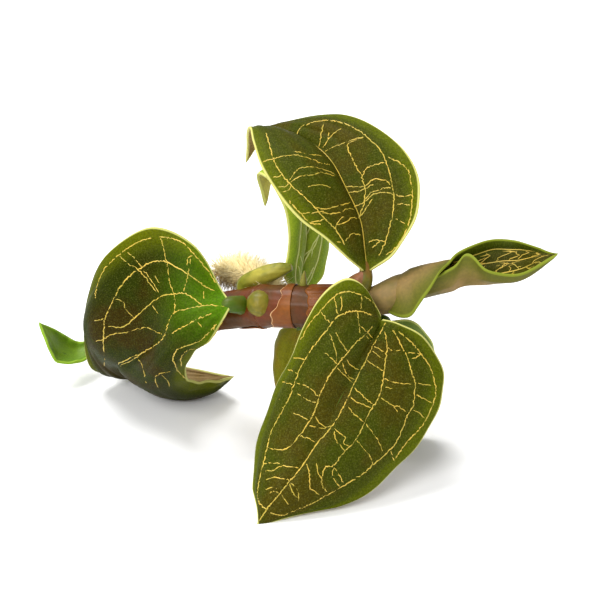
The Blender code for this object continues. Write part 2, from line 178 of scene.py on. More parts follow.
# Each fade holds the values at which it is 0 and 1. Bumps are a strength and a depth in metres.
upperSide = {
    "cloudScale": 95.0, "cloudFade": (0.38, 0.62), "insideFade": (0.85, 0.5), "edgeFade": (0.72, 0.97),
    "grainScale": 3200.0, "grainDepth": -0.6, "speckleScale": 2300.0, "speckleFade": (0.4, 0.62),
    "fleckScale": 3400.0, "fleckFade": (0.5, 0.72), "fleckShare": 0.32, "rimFade": (0.62, 0.28),
    "roughSwing": 0.16, "bump": (0.4, 0.00014),
}
lowerSide = {
    "roughness": 0.6, "specular": 0.1, "cloudScale": 130.0, "cloudFade": (0.35, 0.65), "lipEnd": 0.4,
    "speckleScale": 1700.0, "speckleFade": (0.3, 0.7), "speckle": (0.62, 0.6, 0.55), "rimFade": (0.5, 0.2),
    "bump": (0.4, 0.00015),
}
veinSurface = {"roughness": 0.5, "patchScale": 260.0, "patchFade": (0.35, 0.65), "grainScale": 2600.0,
               "bump": (0.3, 0.00008)}
fleshSurface = {"specular": 0.22, "patchFade": (0.36, 0.64), "speckScale": 900.0,
                "speckFade": (0.3, 0.75), "edgeFade": (0.8, 0.95), "bump": (0.35, 0.0002)}


# Upper side: green with bronze clouds inside, lighter towards the margin, bright thin rim.
def bladeSkin(name, look):
    part = upperSide
    material, tree, shader = newMaterial(name, look["green"], look["roughness"],
                                         Specular_IOR_Level=look["specular"])
    place = addNode(tree, "ShaderNodeUVMap", {"uv_map": "blade"}).outputs["UV"]
    place = addNode(tree, "ShaderNodeSeparateXYZ", Vector=place)
    across = mathNode(tree, "ABSOLUTE", mathNode(tree, "MULTIPLY_ADD", place.outputs["Y"], 2.0, -1.0))
    clouds = fadeBetween(tree, noiseOn(tree, part["cloudScale"], 3.0), *part["cloudFade"])
    inside = mathNode(tree, "MULTIPLY", clouds, fadeBetween(tree, across, *part["insideFade"]))
    colour = mixColours(tree, inside, look["green"], look["bronze"])
    colour = mixColours(tree, fadeBetween(tree, across, *part["edgeFade"]), colour, look["edgeGreen"])
    # Fresher green near the stalk; on the left leaf this zone is wider and brighter, painted light on its lit
    # part.
    fresh = fadeBetween(tree, place.outputs["X"], look["freshAndLitUntil"], 0.0)
    colour = mixColours(tree, fresh, colour, look["fresh"])
    speckle = noiseOn(tree, part["speckleScale"], 3.0)
    pale = fadeBetween(tree, speckle, *part["speckleFade"])
    colour = mixColours(tree, pale, colour, look["speck"], "SOFT_LIGHT")
    flecks = fadeBetween(tree, noiseOn(tree, part["fleckScale"], 1.0), *part["fleckFade"])
    colour = mixColours(tree, mathNode(tree, "MULTIPLY", flecks, part["fleckShare"]), colour, look["fleck"])
    rim = fadeBetween(tree, readAttribute(tree, "rimDistance"), *part["rimFade"])
    tree.links.new(mixColours(tree, rim, colour, look["rim"]), shader.inputs["Base Color"])
    smoothest = look["roughness"] - part["roughSwing"] / 2
    rough = mathNode(tree, "MULTIPLY_ADD", speckle, part["roughSwing"], smoothest)
    tree.links.new(rough, shader.inputs["Roughness"])
    grain = cellsOn(tree, part["grainScale"])
    bumpFrom(tree, shader, mathNode(tree, "MULTIPLY_ADD", grain, part["grainDepth"], speckle), *part["bump"])
    return material


# Underside: clouded and finely specked with a pale rim, and a green lip where the look has one.
def bladeBack(name, look):
    part = lowerSide
    material, tree, shader = newMaterial(name, look["under"], part["roughness"],
                                         Specular_IOR_Level=part["specular"])
    clouds = fadeBetween(tree, noiseOn(tree, part["cloudScale"], 4.0), *part["cloudFade"])
    colour = mixColours(tree, clouds, look["under"], look["underDark"])
    edge = readAttribute(tree, "rimDistance")
    if "lip" in look:
        lip = fadeBetween(tree, edge, look["lipWidth"], part["lipEnd"])
        colour = mixColours(tree, lip, colour, look["lip"])
    speckle = noiseOn(tree, part["speckleScale"], 3.0)
    pale = fadeBetween(tree, speckle, *part["speckleFade"])
    colour = mixColours(tree, pale, colour, part["speckle"], "SOFT_LIGHT")
    colour = mixColours(tree, fadeBetween(tree, edge, *part["rimFade"]), colour, look["rim"])
    tree.links.new(colour, shader.inputs["Base Color"])
    bumpFrom(tree, shader, speckle, *part["bump"])
    return material


def veinSkin(name, colour, second):
    part = veinSurface
    material, tree, shader = newMaterial(name, colour, part["roughness"])
    patches = fadeBetween(tree, noiseOn(tree, part["patchScale"], 3.0), *part["patchFade"])
    tree.links.new(mixColours(tree, patches, colour, second), shader.inputs["Base Color"])
    bumpFrom(tree, shader, noiseOn(tree, part["grainScale"]), *part["bump"])
    return material


# Skin of the stem, a stalk, a root, a sheath or the bud, with soft patches and small pale specks.
def fleshSkin(name, look):
    part = fleshSurface
    material, tree, shader = newMaterial(name, look["colour"], look["roughness"],
                                         Specular_IOR_Level=part["specular"])
    patches = fadeBetween(tree, noiseOn(tree, look["patchScale"], 3.0), *part["patchFade"])
    colour = mixColours(tree, patches, look["colour"], look["second"])
    specks = noiseOn(tree, part["speckScale"], 3.0)
    pale = fadeBetween(tree, specks, *part["speckFade"])
    colour = mixColours(tree, pale, colour, look["speck"], "SOFT_LIGHT")
    if "edge" in look:
        torn = fadeBetween(tree, readAttribute(tree, "tornEdge"), *part["edgeFade"])
        colour = mixColours(tree, torn, colour, look["edge"])
    tree.links.new(colour, shader.inputs["Base Color"])
    bumpFrom(tree, shader, specks, *part["bump"])
    return material


# Catmull-Rom curve through evenly spaced points, at shares 0 to 1.
def smoothLine(points, shares):
    knots = np.asarray(points, float)
    if knots.ndim == 1:
        knots = knots[:, None]
    last = len(knots) - 1
    padded = np.vstack([2 * knots[0] - knots[1], knots, 2 * knots[-1] - knots[-2]])
    along = np.clip(shares, 0.0, 1.0) * last
    index = np.minimum(along.astype(int), last - 1)
    f = (along - index)[..., None]
    a, b, c, d = (padded[index + k] for k in range(4))
    linear = (c - a) * f
    square = (2 * a - 5 * b + 4 * c - d) * f ** 2
    cubic = (3 * b - a - 3 * c + d) * f ** 3
    return 0.5 * (2 * b + linear + square + cubic)


def unit(vectors):
    length = np.linalg.norm(vectors, axis=-1, keepdims=True)
    return vectors / np.maximum(length, 1e-9)


def toFrame(points):
    return (np.asarray(points) + plantShift) * mm


# Points in the CAD frame, none of them lower than the gap over the floor.
def overFloor(points):
    placed = toFrame(points)
    placed[:, 2] = np.maximum(placed[:, 2], floorGap * mm)
    return placed


def newPiece(name, mesh, slot, *nodes):
    piece = addToScene(name, mesh)
    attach(piece, "root")
    if nodes:
        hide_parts(*nodes)


# A smooth closed mesh, in the CAD frame, with its faces turned outwards.
def sealedMesh(name, points, faces, materials, faceMaterial=None, uv=None, values=None):
    mesh = bpy.data.meshes.new(name)
    mesh.from_pydata([tuple(p) for p in points], [], [tuple(f) for f in faces])
    for material in materials:
        mesh.materials.append(material)
    if faceMaterial is not None:
        mesh.polygons.foreach_set("material_index", faceMaterial)
    if uv is not None:
        layer = mesh.uv_layers.new(name="blade")
        corners = np.empty(len(mesh.loops), int)
        mesh.loops.foreach_get("vertex_index", corners)
        layer.data.foreach_set("uv", np.asarray(uv)[corners].ravel())
    for label, numbers in (values or {}).items():
        mesh.attributes.new(label, "FLOAT", "POINT").data.foreach_set("value", numbers)
    work = bmesh.new()
    work.from_mesh(mesh)
    bmesh.ops.remove_doubles(work, verts=work.verts, dist=weldDistance)
    bmesh.ops.recalc_face_normals(work, faces=work.faces)
    work.to_mesh(mesh)
    work.free()
    mesh.shade_smooth()
    return mesh


tubeStart = (0.31, 0.2, 0.93)  # a direction that no route starts along
thinnestTube = 0.02


# Rings of a tube along a smooth route, carried along without twist, and their faces. A wrinkle is
# a height, its waves round the tube and its turns along it.
def tubePoints(route, radii, sides, steps, wrinkles=()):
    shares = np.linspace(0.0, 1.0, steps + 1)
    centres = smoothLine(route, shares)
    ahead = unit(np.gradient(centres, axis=0))
    width = radii(shares) if callable(radii) else smoothLine(radii, shares)[:, 0]
    normal = unit(np.cross(ahead[0], tubeStart))
    rings = []
    angles = np.linspace(0.0, 2 * math.pi, sides, endpoint=False)
    for i in range(steps + 1):
        normal = unit(normal - ahead[i] * normal.dot(ahead[i]))
        side = np.cross(ahead[i], normal)
        radius = np.full(sides, max(width[i], thinnestTube))
        for height, around, along in wrinkles:
            radius = radius + height * np.sin(around * angles + along * shares[i])
        rings.append(centres[i] + radius[:, None] * (np.cos(angles)[:, None] * normal
                                                     + np.sin(angles)[:, None] * side))
    points = np.concatenate([*rings, centres[:1], centres[-1:]])
    first, last = len(points) - 2, len(points) - 1
    faces = []
    for i in range(steps):
        for j in range(sides):
            k = (j + 1) % sides
            faces.append((i * sides + j, i * sides + k, (i + 1) * sides + k, (i + 1) * sides + j))
    for j in range(sides):
        k = (j + 1) % sides
        faces.append((first, k, j))
        faces.append((last, steps * sides + j, steps * sides + k))
    return points, faces


def makeTree(name, sockets):
    tree = bpy.data.node_groups.new(name, "GeometryNodeTree")
    tree.interface.new_socket("Geometry", in_out="INPUT", socket_type="NodeSocketGeometry")
    for label, kind in sockets:
        tree.interface.new_socket(label, in_out="INPUT", socket_type=kind)
    tree.interface.new_socket("Geometry", in_out="OUTPUT", socket_type="NodeSocketGeometry")
    return tree, tree.nodes.new("NodeGroupInput").outputs, tree.nodes.new("NodeGroupOutput").inputs


# Runs a node tree on a source mesh and gives the result as a plain mesh.
def growWith(tree, source, name, values):
    holder = addToScene(name + "Source", source)
    modifier = holder.modifiers.new(name, "NODES")
    modifier.node_group = tree
    for item in tree.interface.items_tree:
        if item.in_out == "INPUT" and item.name in values:
            modifier[item.identifier] = values[item.name]
    graph = bpy.context.evaluated_depsgraph_get()
    mesh = bpy.data.meshes.new_from_object(holder.evaluated_get(graph), depsgraph=graph)
    holder.modifiers.clear()
    bpy.data.objects.remove(holder)
    mesh.name = name
    mesh.shade_smooth()
    return mesh


# Thin round ribs along every line of a mesh, each point with its own radius.
def makeRibTree():
    tree, given, result = makeTree("ribsAlongLines", [
        ("Rib Scale", "NodeSocketFloat"), ("Sides", "NodeSocketInt"), ("Material", "NodeSocketMaterial")])
    lines = addNode(tree, "GeometryNodeMeshToCurve", Mesh=given["Geometry"])
    size = addNode(tree, "GeometryNodeInputNamedAttribute", {"data_type": "FLOAT"}, Name="ribRadius")
    scaled = mathNode(tree, "MULTIPLY", size.outputs[0], given["Rib Scale"])
    sized = addNode(tree, "GeometryNodeSetCurveRadius", Curve=lines.outputs[0], Radius=scaled)
    ring = addNode(tree, "GeometryNodeCurvePrimitiveCircle", Resolution=given["Sides"], Radius=1.0)
    ribs = addNode(tree, "GeometryNodeCurveToMesh", Curve=sized.outputs[0], Profile_Curve=ring.outputs[0],
                   Scale=scaled, Fill_Caps=True)
    plain = addNode(tree, "GeometryNodeRealizeInstances", Geometry=ribs.outputs[0])
    done = addNode(tree, "GeometryNodeSetMaterial", Geometry=plain.outputs[0], Material=given["Material"])
    tree.links.new(done.outputs[0], result["Geometry"])
    return tree


hairSizes = (0.45, 1.0)  # shortest and longest hair, as shares of the hair length


# Thin tapered hairs standing on a skin, leaning and sized at random from a fixed seed.
def makeHairTree():
    tree, given, result = makeTree("hairsOnSkin", [
        ("Hair Density", "NodeSocketFloat"), ("Hair Length", "NodeSocketFloat"),
        ("Hair Width", "NodeSocketFloat"), ("Lean", "NodeSocketFloat"), ("Seed", "NodeSocketInt"),
        ("Material", "NodeSocketMaterial")])
    spots = addNode(tree, "GeometryNodeDistributePointsOnFaces", Mesh=given["Geometry"],
                    Density=given["Hair Density"], Seed=given["Seed"])
    chance = addNode(tree, "FunctionNodeRandomValue", {"data_type": "FLOAT_VECTOR"}, Seed=given["Seed"])
    chance.inputs[0].default_value = (-1, -1, -1)
    chance.inputs[1].default_value = (1, 1, 1)
    leaning = addNode(tree, "ShaderNodeVectorMath", {"operation": "SCALE"}, Vector=chance.outputs[0],
                      Scale=given["Lean"])
    way = tree.nodes.new("ShaderNodeVectorMath")
    tree.links.new(spots.outputs["Normal"], way.inputs[0])
    tree.links.new(leaning.outputs[0], way.inputs[1])
    turned = addNode(tree, "FunctionNodeAlignRotationToVector", {"axis": "Z"}, Vector=way.outputs[0])
    hair = addNode(tree, "GeometryNodeMeshCone", {"fill_type": "NONE"}, Vertices=3, Radius_Top=0.0,
                   Radius_Bottom=given["Hair Width"], Depth=given["Hair Length"])
    sizes = addNode(tree, "FunctionNodeRandomValue", {"data_type": "FLOAT"}, Seed=given["Seed"])
    sizes.inputs[2].default_value = hairSizes[0]
    sizes.inputs[3].default_value = hairSizes[1]
    many = addNode(tree, "GeometryNodeInstanceOnPoints", Points=spots.outputs["Points"],
                   Instance=hair.outputs["Mesh"], Rotation=turned.outputs[0], Scale=sizes.outputs[1])
    plain = addNode(tree, "GeometryNodeRealizeInstances", Geometry=many.outputs[0])
    done = addNode(tree, "GeometryNodeSetMaterial", Geometry=plain.outputs[0], Material=given["Material"])
    tree.links.new(done.outputs[0], result["Geometry"])
    return tree


bladeShape = {
    "reach": (0.012, 0.998), "marginPower": 1.35, "tipStart": 0.9, "smoothings": 2,
    "furrowWidth": 0.9, "sideFurrow": 0.22, "sideFurrowWidth": 0.8, "fullBody": 6.0,
    "rippleWaves": 41, "rippleStart": 1.3, "ripplePower": 5, "roundMargin": 0.04, "roundTip": 0.03,
    "veinLimit": 0.985, "lastCell": 0.9999,
}


# Fine grid of a blade's middle surface, with its normals and half width, in plant millimetres.
def bladeGrid(leaf):
    rows, columns = leaf["detail"]
    u = np.linspace(*bladeShape["reach"], rows + 1)
    s = np.linspace(-1.0, 1.0, 2 * columns + 1)
    v = np.sign(s) * (1 - (1 - np.abs(s)) ** bladeShape["marginPower"])  # finer towards the margins
    middle = smoothLine(leaf["midrib"], u)
    ahead = np.gradient(middle, axis=0)
    start = bladeShape["tipStart"]
    drawn = 1 - leaf["tipPinch"] * np.clip((u - start) / (1 - start), 0, 1)[:, None]  # draws the tip out
    points = np.empty((rows + 1, len(v), 3))
    widths = np.empty((rows + 1, len(v)))
    for side, wanted, turn in (("left", v < 0, -1.0), ("right", v >= 0, 1.0)):
        across = (smoothLine(leaf[side + "Edge"], u) - middle) * drawn
        bulge = smoothLine(leaf[side + "Bulge"], u)
        outward = unit(np.cross(across * turn, ahead))
        share = np.abs(v[wanted])[None, :, None]
        points[:, wanted] = (middle[:, None] + share * across[:, None]
                             + 4 * bulge[:, None] * share * (1 - share) * outward[:, None])
        widths[:, wanted] = np.linalg.norm(across, axis=1)[:, None]
    for _ in range(bladeShape["smoothings"]):  # rounds the fold along the midrib a little
        points[:, 1:-1] = 0.25 * points[:, :-2] + 0.5 * points[:, 1:-1] + 0.25 * points[:, 2:]
    normals = unit(np.cross(np.gradient(points, axis=1), np.gradient(points, axis=0)))
    return u, v, points, normals, widths


# Upper and lower skin of a blade, with the veins' furrows and a thinning margin.
def bladeSkins(leaf):
    u, v, points, normals, widths = bladeGrid(leaf)
    side = np.abs(v)[None, :]
    away = side * widths
    furrow = leaf["furrow"] * np.exp(-(away / bladeShape["furrowWidth"]) ** 2)
    for vein in leaf["mainVeins"]:
        near = (away - vein * widths) / bladeShape["sideFurrowWidth"]
        furrow = furrow + bladeShape["sideFurrow"] * np.exp(-near ** 2)
    body = np.minimum(widths / bladeShape["fullBody"], 1.0)
    waves = np.sin(bladeShape["rippleWaves"] * u + bladeShape["rippleStart"])[:, None] * np.sign(v)[None, :]
    lift = (leaf["ripple"] * side ** bladeShape["ripplePower"] * waves - furrow) * body
    margin = np.clip((side - 1) / bladeShape["roundMargin"] + 1, 0, 1)
    tip = np.clip((1.0 - u) / bladeShape["roundTip"], 0.0, 1.0)[:, None]
    thick = leaf["halfThickness"] * np.sqrt(1 - margin ** 2) * np.sqrt(tip)
    return {"u": u, "v": v, "normals": normals, "rim": (1 - side) * widths,
            "upper": points + normals * (thick + lift)[..., None],
            "lower": points + normals * (lift - thick)[..., None]}


def growBlade(name, leaf, skins):
    rows, columns = skins["rim"].shape
    points = overFloor(np.concatenate([skins["upper"].reshape(-1, 3), skins["lower"].reshape(-1, 3)]))
    uv = np.stack([np.repeat(skins["u"], columns), np.tile(0.5 + 0.5 * skins["v"], rows)], axis=1)
    shift = rows * columns
    faces, side = [], []
    for i in range(rows - 1):
        for j in range(columns - 1):
            a = i * columns + j
            corner = (a, a + 1, a + columns + 1, a + columns)
            faces += [corner, tuple(shift + k for k in reversed(corner))]
            side += [0, 1]
    for i in (0, rows - 1):
        for j in range(columns - 1):
            a = i * columns + j
            faces.append((a, a + 1, shift + a + 1, shift + a) if i else (a + 1, a, shift + a, shift + a + 1))
            side.append(0)
    return sealedMesh(name, points, faces, bladeMaterials[leaf["look"]], side, np.concatenate([uv, uv]),
                      {"rimDistance": np.tile(skins["rim"].ravel(), 2)})


# Points of a (u, v) path on the upper skin, sunk by depth.
def onSkin(skins, path, depth):
    u, v = skins["u"], skins["v"]
    path = np.asarray(path, float)
    share = np.clip(path[:, 1], -bladeShape["veinLimit"], bladeShape["veinLimit"])
    s = np.sign(share) * (1 - (1 - np.abs(share)) ** (1 / bladeShape["marginPower"]))
    x = np.clip((path[:, 0] - u[0]) / (u[-1] - u[0]), 0, bladeShape["lastCell"]) * (len(u) - 1)
    y = (s + 1) / 2 * (len(v) - 1)
    i, j = x.astype(int), np.minimum(y.astype(int), len(v) - 2)
    f, g = (x - i)[:, None], (y - j)[:, None]
    place, up = ((1 - f) * ((1 - g) * grid[i, j] + g * grid[i, j + 1])
                 + f * ((1 - g) * grid[i + 1, j] + g * grid[i + 1, j + 1])
                 for grid in (skins["upper"], skins["normals"]))
    return place - unit(up) * depth


# How the spot under a pixel is found: points turned away are put far off, and of the candidates
# nearest in the picture those much deeper than the first are left out.
sight = {"facing": -0.02, "turnedAway": 1000.0, "candidates": 24, "depthReach": 3.0, "nearest": 6,
         "softening": 0.05}


# Points and normals of the upper skin that the photograph's camera sees at these pixels.
def seenOnSkin(skins, pixels):
    tilt = math.radians(photoView["elevation"])
    forward = np.array((0.0, math.cos(tilt), -math.sin(tilt)))
    upwards = np.array((0.0, math.sin(tilt), math.cos(tilt)))
    away = skins["upper"] + plantShift - np.array(photoView["target"]) + forward * photoView["distance"]
    away = away.reshape(-1, 3)
    depth = away @ forward
    focal = photoView["pixels"] * photoView["lens"] / photoView["sensor"]
    seen = photoView["pixels"] / 2 + focal * np.stack([away[:, 0], -away @ upwards], axis=1) / depth[:, None]
    points, ups = skins["upper"].reshape(-1, 3), skins["normals"].reshape(-1, 3)
    facing = np.einsum("ij,ij->i", unit(away), ups) < sight["facing"]
    found, turned = [], []
    for pixel in pixels:
        gap = np.linalg.norm(seen - pixel, axis=1) + np.where(facing, 0.0, sight["turnedAway"])
        near = np.argpartition(gap, sight["candidates"])[:sight["candidates"]]
        near = near[depth[near] < depth[near[gap[near].argmin()]] + sight["depthReach"]]
        near = near[np.argsort(gap[near])[:sight["nearest"]]]
        weight = 1.0 / (gap[near] ** 2 + sight["softening"])
        found.append((points[near] * weight[:, None]).sum(0) / weight.sum())
        turned.append((ups[near] * weight[:, None]).sum(0))
    return np.array(found), unit(np.array(turned))


# The net between main veins. Places are shares of the blade's length, and pairs are ranges.
veinNet = {
    "first": 0.05, "last": 0.88, "points": 8, "crossing": 0.9, "shortReach": (0.4, 0.85),
    "driftGap": 0.3, "driftRange": (0.3, 1.5), "wiggle": 0.014, "bend": 0.9, "spacingRange": (0.45, 1.4),
    "forks": 0.45, "forkAt": (2, 6), "forkTurn": (0.25, 0.6), "forkAcross": (-0.25, 0.4),
    "forkPoints": 5, "forkWiggle": 0.6, "limits": (0.03, 0.97),
}


def forkFrom(path, width, spacing, rng):
    k = int(rng.integers(*veinNet["forkAt"]))
    turn = rng.choice((-1, 1)) * spacing * rng.uniform(*veinNet["forkTurn"])
    end = path[k] + np.array((turn, width * rng.uniform(*veinNet["forkAcross"])))
    fork = path[k] + (end - path[k]) * np.linspace(0.0, 1.0, veinNet["forkPoints"])[:, None]
    fork[1:-1, 0] += rng.normal(0, veinNet["wiggle"] * veinNet["forkWiggle"], veinNet["forkPoints"] - 2)
    return fork


# Irregular zigzag veins between the main ones, some of them forked or left open.
def crossVeins(leaf):
    net, spacing = veinNet, leaf["spacing"]
    rng = np.random.default_rng(leaf["seed"])
    lines = [0.0, *leaf["mainVeins"]]
    paths = []
    for side in (-1, 1):
        for inner, outer in zip(lines, lines[1:]):
            width = side * (outer - inner)
            start = net["first"] + rng.uniform(0, spacing)
            while start < net["last"]:
                reach = 1.0 if rng.random() < net["crossing"] else rng.uniform(*net["shortReach"])
                share = np.linspace(0.0, reach, net["points"])
                drift = leaf["drift"] * (outer - inner) / net["driftGap"] * rng.uniform(*net["driftRange"])
                sway = np.cumsum(rng.normal(0, net["wiggle"], net["points"]))
                sway = sway * np.sin(math.pi * share / reach * net["bend"])
                path = np.stack([start + drift * share + sway, side * inner + width * share], axis=1)
                paths.append(path)
                if rng.random() < net["forks"]:
                    paths.append(forkFrom(path, width, spacing, rng))
                start += spacing * rng.uniform(*net["spacingRange"])
    first, last = net["limits"]
    return [p for p in paths if p[:, 0].min() > first and p[:, 0].max() < last]


# How ribs are drawn: thickness at both ends, how deep they sink, and the steps along them.
veinLine = {
    "ends": (0.35, 0.3), "sunk": 0.6, "midribSunk": 0.4, "crossShare": 0.8, "midribSpan": (0.02, 0.985, 120),
    "midribTaper": (0.01, 0.3), "mainSpan": (0.03, 0.96, 110), "mainShorter": 0.03, "mainTaper": (0.05, 0.2),
    "mainSways": ((0.012, 23, 5, 1), (0.008, 61, 2, 0)), "crossTaper": (0.1, 0.4),
    "pixelStep": 1.6, "pixelSway": 0.32, "grain": (0.6, 1.25), "sketchEnd": 0.5, "sides": 6,
}


def addRib(ribs, placed, size):
    first = len(ribs["points"])
    ribs["points"].extend(placed)
    ribs["radii"].extend(size)
    ribs["edges"].extend((first + k, first + k + 1) for k in range(len(placed) - 1))


# Rib along a (u, v) path, thinner towards both ends.
def addLine(ribs, skins, path, thickness, sunk, taper):
    share = np.linspace(0, 1, len(path))
    ends = veinLine["ends"]
    size = np.minimum(share / taper[0] + ends[0], (1 - share) / taper[1] + ends[1])
    addRib(ribs, onSkin(skins, path, thickness * sunk), thickness * np.minimum(1.0, size))


# Rib along a vein read on the photograph, with a grainy width.
def addSketched(ribs, skins, sketch, line, thickness, rng):
    pixels = np.array(sketch["corner"]) + np.array(line) / sketch["zoom"]
    length = np.linalg.norm(np.diff(pixels, axis=0), axis=1).sum()
    parts = max(2, int(length / veinLine["pixelStep"]))
    pixels = smoothLine(pixels, np.linspace(0, 1, parts + 1))
    pixels[1:-1] += rng.normal(0, veinLine["pixelSway"], (parts - 1, 2))
    placed, ups = seenOnSkin(skins, pixels)
    size = thickness * rng.uniform(*veinLine["grain"], parts + 1)
    size[[0, -1]] *= veinLine["sketchEnd"]
    addRib(ribs, placed - ups * thickness * veinLine["sunk"], size)


# Main veins, midrib and the network between them, as thin ribs sunk in the upper skin.
def growVeins(name, leaf, skins, slot):
    ribs = {"points": [], "radii": [], "edges": []}
    radius, crossRadius = leaf["veinRadius"], leaf["veinRadius"] * veinLine["crossShare"]
    u = np.linspace(*veinLine["midribSpan"])
    midrib = np.stack([u, 0 * u], axis=1)
    if "sketch" in leaf:
        if leaf["midribFromLine"]:
            addLine(ribs, skins, midrib, leaf["midribRadius"], veinLine["midribSunk"],
                    veinLine["midribTaper"])
        rng = np.random.default_rng(leaf["seed"])
        for kind, thickness in (("main", radius), ("cross", crossRadius)):
            for line in leaf["sketch"][kind]:
                addSketched(ribs, skins, leaf["sketch"], line, thickness, rng)
    else:
        addLine(ribs, skins, midrib, leaf["midribRadius"], veinLine["sunk"], veinLine["midribTaper"])
        first, last, count = veinLine["mainSpan"]
        for side in (-1, 1):
            for k, vein in enumerate(leaf["mainVeins"]):
                u = np.linspace(first, last - veinLine["mainShorter"] * k, count)
                sway = sum(height * np.sin(waves * u + shift * k + turn * side)
                           for height, waves, shift, turn in veinLine["mainSways"])
                path = np.stack([u, side * (vein + sway)], axis=1)
                addLine(ribs, skins, path, radius, veinLine["sunk"], veinLine["mainTaper"])
        for path in crossVeins(leaf):
            addLine(ribs, skins, path, crossRadius, veinLine["sunk"], veinLine["crossTaper"])
    source = bpy.data.meshes.new(name)
    source.from_pydata([tuple(p) for p in toFrame(np.array(ribs["points"]))], ribs["edges"], [])
    radii = np.array(ribs["radii"]) * mm
    source.attributes.new("ribRadius", "FLOAT", "POINT").data.foreach_set("value", radii)
    mesh = growWith(ribTree, source, name,
                    {"Rib Scale": 1.0, "Sides": veinLine["sides"], "Material": leaf["veinSkin"]})
    low = np.empty(len(mesh.vertices) * 3)
    mesh.vertices.foreach_get("co", low)
    low[2::3] = np.maximum(low[2::3], floorGap * mm)
    mesh.vertices.foreach_set("co", low)
    newPiece(name, mesh, slot)


keelLook = {"places": (0.12, 0.27, 0.47, 0.7, 1.0), "radii": (0.8, 0.62, 0.48, 0.36, 0.22), "gap": 0.12,
            "detail": (20, 70)}


# A blade with its veins, and its stalk, which goes on as a keel under the blade.
def growLeaf(name, node, slot, leaf):
    leaf = {**everyBlade, **leaf}
    skins = bladeSkins(leaf)
    newPiece(name, growBlade(name, leaf, skins), slot, node)
    if leaf["mainVeins"]:
        growVeins(name + "Veins", leaf, skins, slot)
    radii = leaf["keel"] * np.array(keelLook["radii"])
    path = [(leaf["keelReach"] * share, 0) for share in keelLook["places"]]
    keel = onSkin(skins, path, (radii + keelLook["gap"])[:, None])
    route, widths = [*leaf["stalk"], *keel], [*leaf["stalkRadii"], *radii]
    points, faces = tubePoints(route, widths, *keelLook["detail"])
    stalk = sealedMesh(name + "Stalk", overFloor(points), faces, [leaf["stalkSkin"]])
    newPiece(name + "Stalk", stalk, slot)
    print(name, "grown")


setUpStudio(studio, photoView)
print("studio ready")

ribTree = makeRibTree()
hairTree = makeHairTree()

# Finishes that several blades share. Colours are linear.
everyFinish = {"speck": (0.66, 0.66, 0.62), "freshAndLitUntil": 0.1, "roughness": 0.5}
darkBlade = {
    "green": (0.027, 0.034, 0.0008), "bronze": (0.036, 0.029, 0.001), "edgeGreen": (0.058, 0.072, 0.0005),
    "fresh": (0.07, 0.085, 0.002),
    "rim": (0.5, 0.48, 0.14), "speck": (0.72, 0.72, 0.68), "specular": 0.03,
    "fleck": (0.14, 0.14, 0.03),
    "under": (0.24, 0.17, 0.06), "underDark": (0.16, 0.11, 0.03),
}
# Left leaf: its green and bronze are darker than the dark blades' as painted shade on its dome, and its
# brighter fresh green reaching a third of its length from the stalk is painted light on the lit part there.
leftBlade = {
    "green": (0.013, 0.018, 0.0002), "bronze": (0.02, 0.013, 0.0002), "edgeGreen": (0.06, 0.07, 0.0005),
    "fresh": (0.05, 0.125, 0.002), "freshAndLitUntil": 0.33,
    "rim": (0.42, 0.42, 0.12), "speck": (0.72, 0.72, 0.68), "roughness": 0.42, "specular": 0.02,
    "fleck": (0.1, 0.11, 0.02),
    "under": (0.26, 0.18, 0.08), "underDark": (0.18, 0.12, 0.04),
}
rolledBlade = {
    "green": (0.022, 0.03, 0.0003), "bronze": (0.027, 0.025, 0.0003), "edgeGreen": (0.035, 0.048, 0.0004),
    "fresh": (0.04, 0.055, 0.001),
    "rim": (0.16, 0.19, 0.015), "roughness": 0.45, "specular": 0.04,
    "fleck": (0.12, 0.12, 0.02),
    "under": (0.19, 0.125, 0.045), "underDark": (0.095, 0.078, 0.014),
    "lip": (0.075, 0.08, 0.008), "lipWidth": 5.0,
}
oliveBlade = {
    "green": (0.14, 0.14, 0.004), "bronze": (0.2, 0.12, 0.008), "edgeGreen": (0.16, 0.18, 0.006),
    "fresh": (0.12, 0.14, 0.004),
    "rim": (0.34, 0.34, 0.08), "roughness": 0.55, "specular": 0.06,
    "fleck": (0.24, 0.22, 0.04),
    "under": (0.3, 0.2, 0.03), "underDark": (0.22, 0.18, 0.02),
}
freshBlade = {
    "green": (0.07, 0.125, 0.004), "bronze": (0.075, 0.11, 0.005), "edgeGreen": (0.1, 0.16, 0.006),
    "fresh": (0.15, 0.2, 0.015),
    "rim": (0.45, 0.48, 0.12), "speck": (0.62, 0.62, 0.6), "roughness": 0.42, "specular": 0.25,
    "fleck": (0.2, 0.26, 0.03),
    "under": (0.26, 0.24, 0.06), "underDark": (0.2, 0.17, 0.03),
}
backBlade = {
    "green": (0.14, 0.23, 0.01), "bronze": (0.15, 0.2, 0.012), "edgeGreen": (0.24, 0.32, 0.02),
    "fresh": (0.2, 0.26, 0.02),
    "rim": (0.5, 0.52, 0.14), "specular": 0.08,
    "fleck": (0.24, 0.32, 0.04),
    "under": (0.4, 0.38, 0.1), "underDark": (0.3, 0.28, 0.05),
}
youngBlade = {
    "green": (0.075, 0.15, 0.002), "bronze": (0.09, 0.16, 0.003), "edgeGreen": (0.1, 0.2, 0.003),
    "fresh": (0.15, 0.26, 0.01), "freshAndLitUntil": 0.2,
    "rim": (0.2, 0.33, 0.02), "speck": (0.62, 0.62, 0.6), "roughness": 0.48, "specular": 0.25,
    "fleck": (0.16, 0.28, 0.01),
    "under": (0.18, 0.28, 0.02), "underDark": (0.12, 0.2, 0.01),
}
bladeMaterials = {}
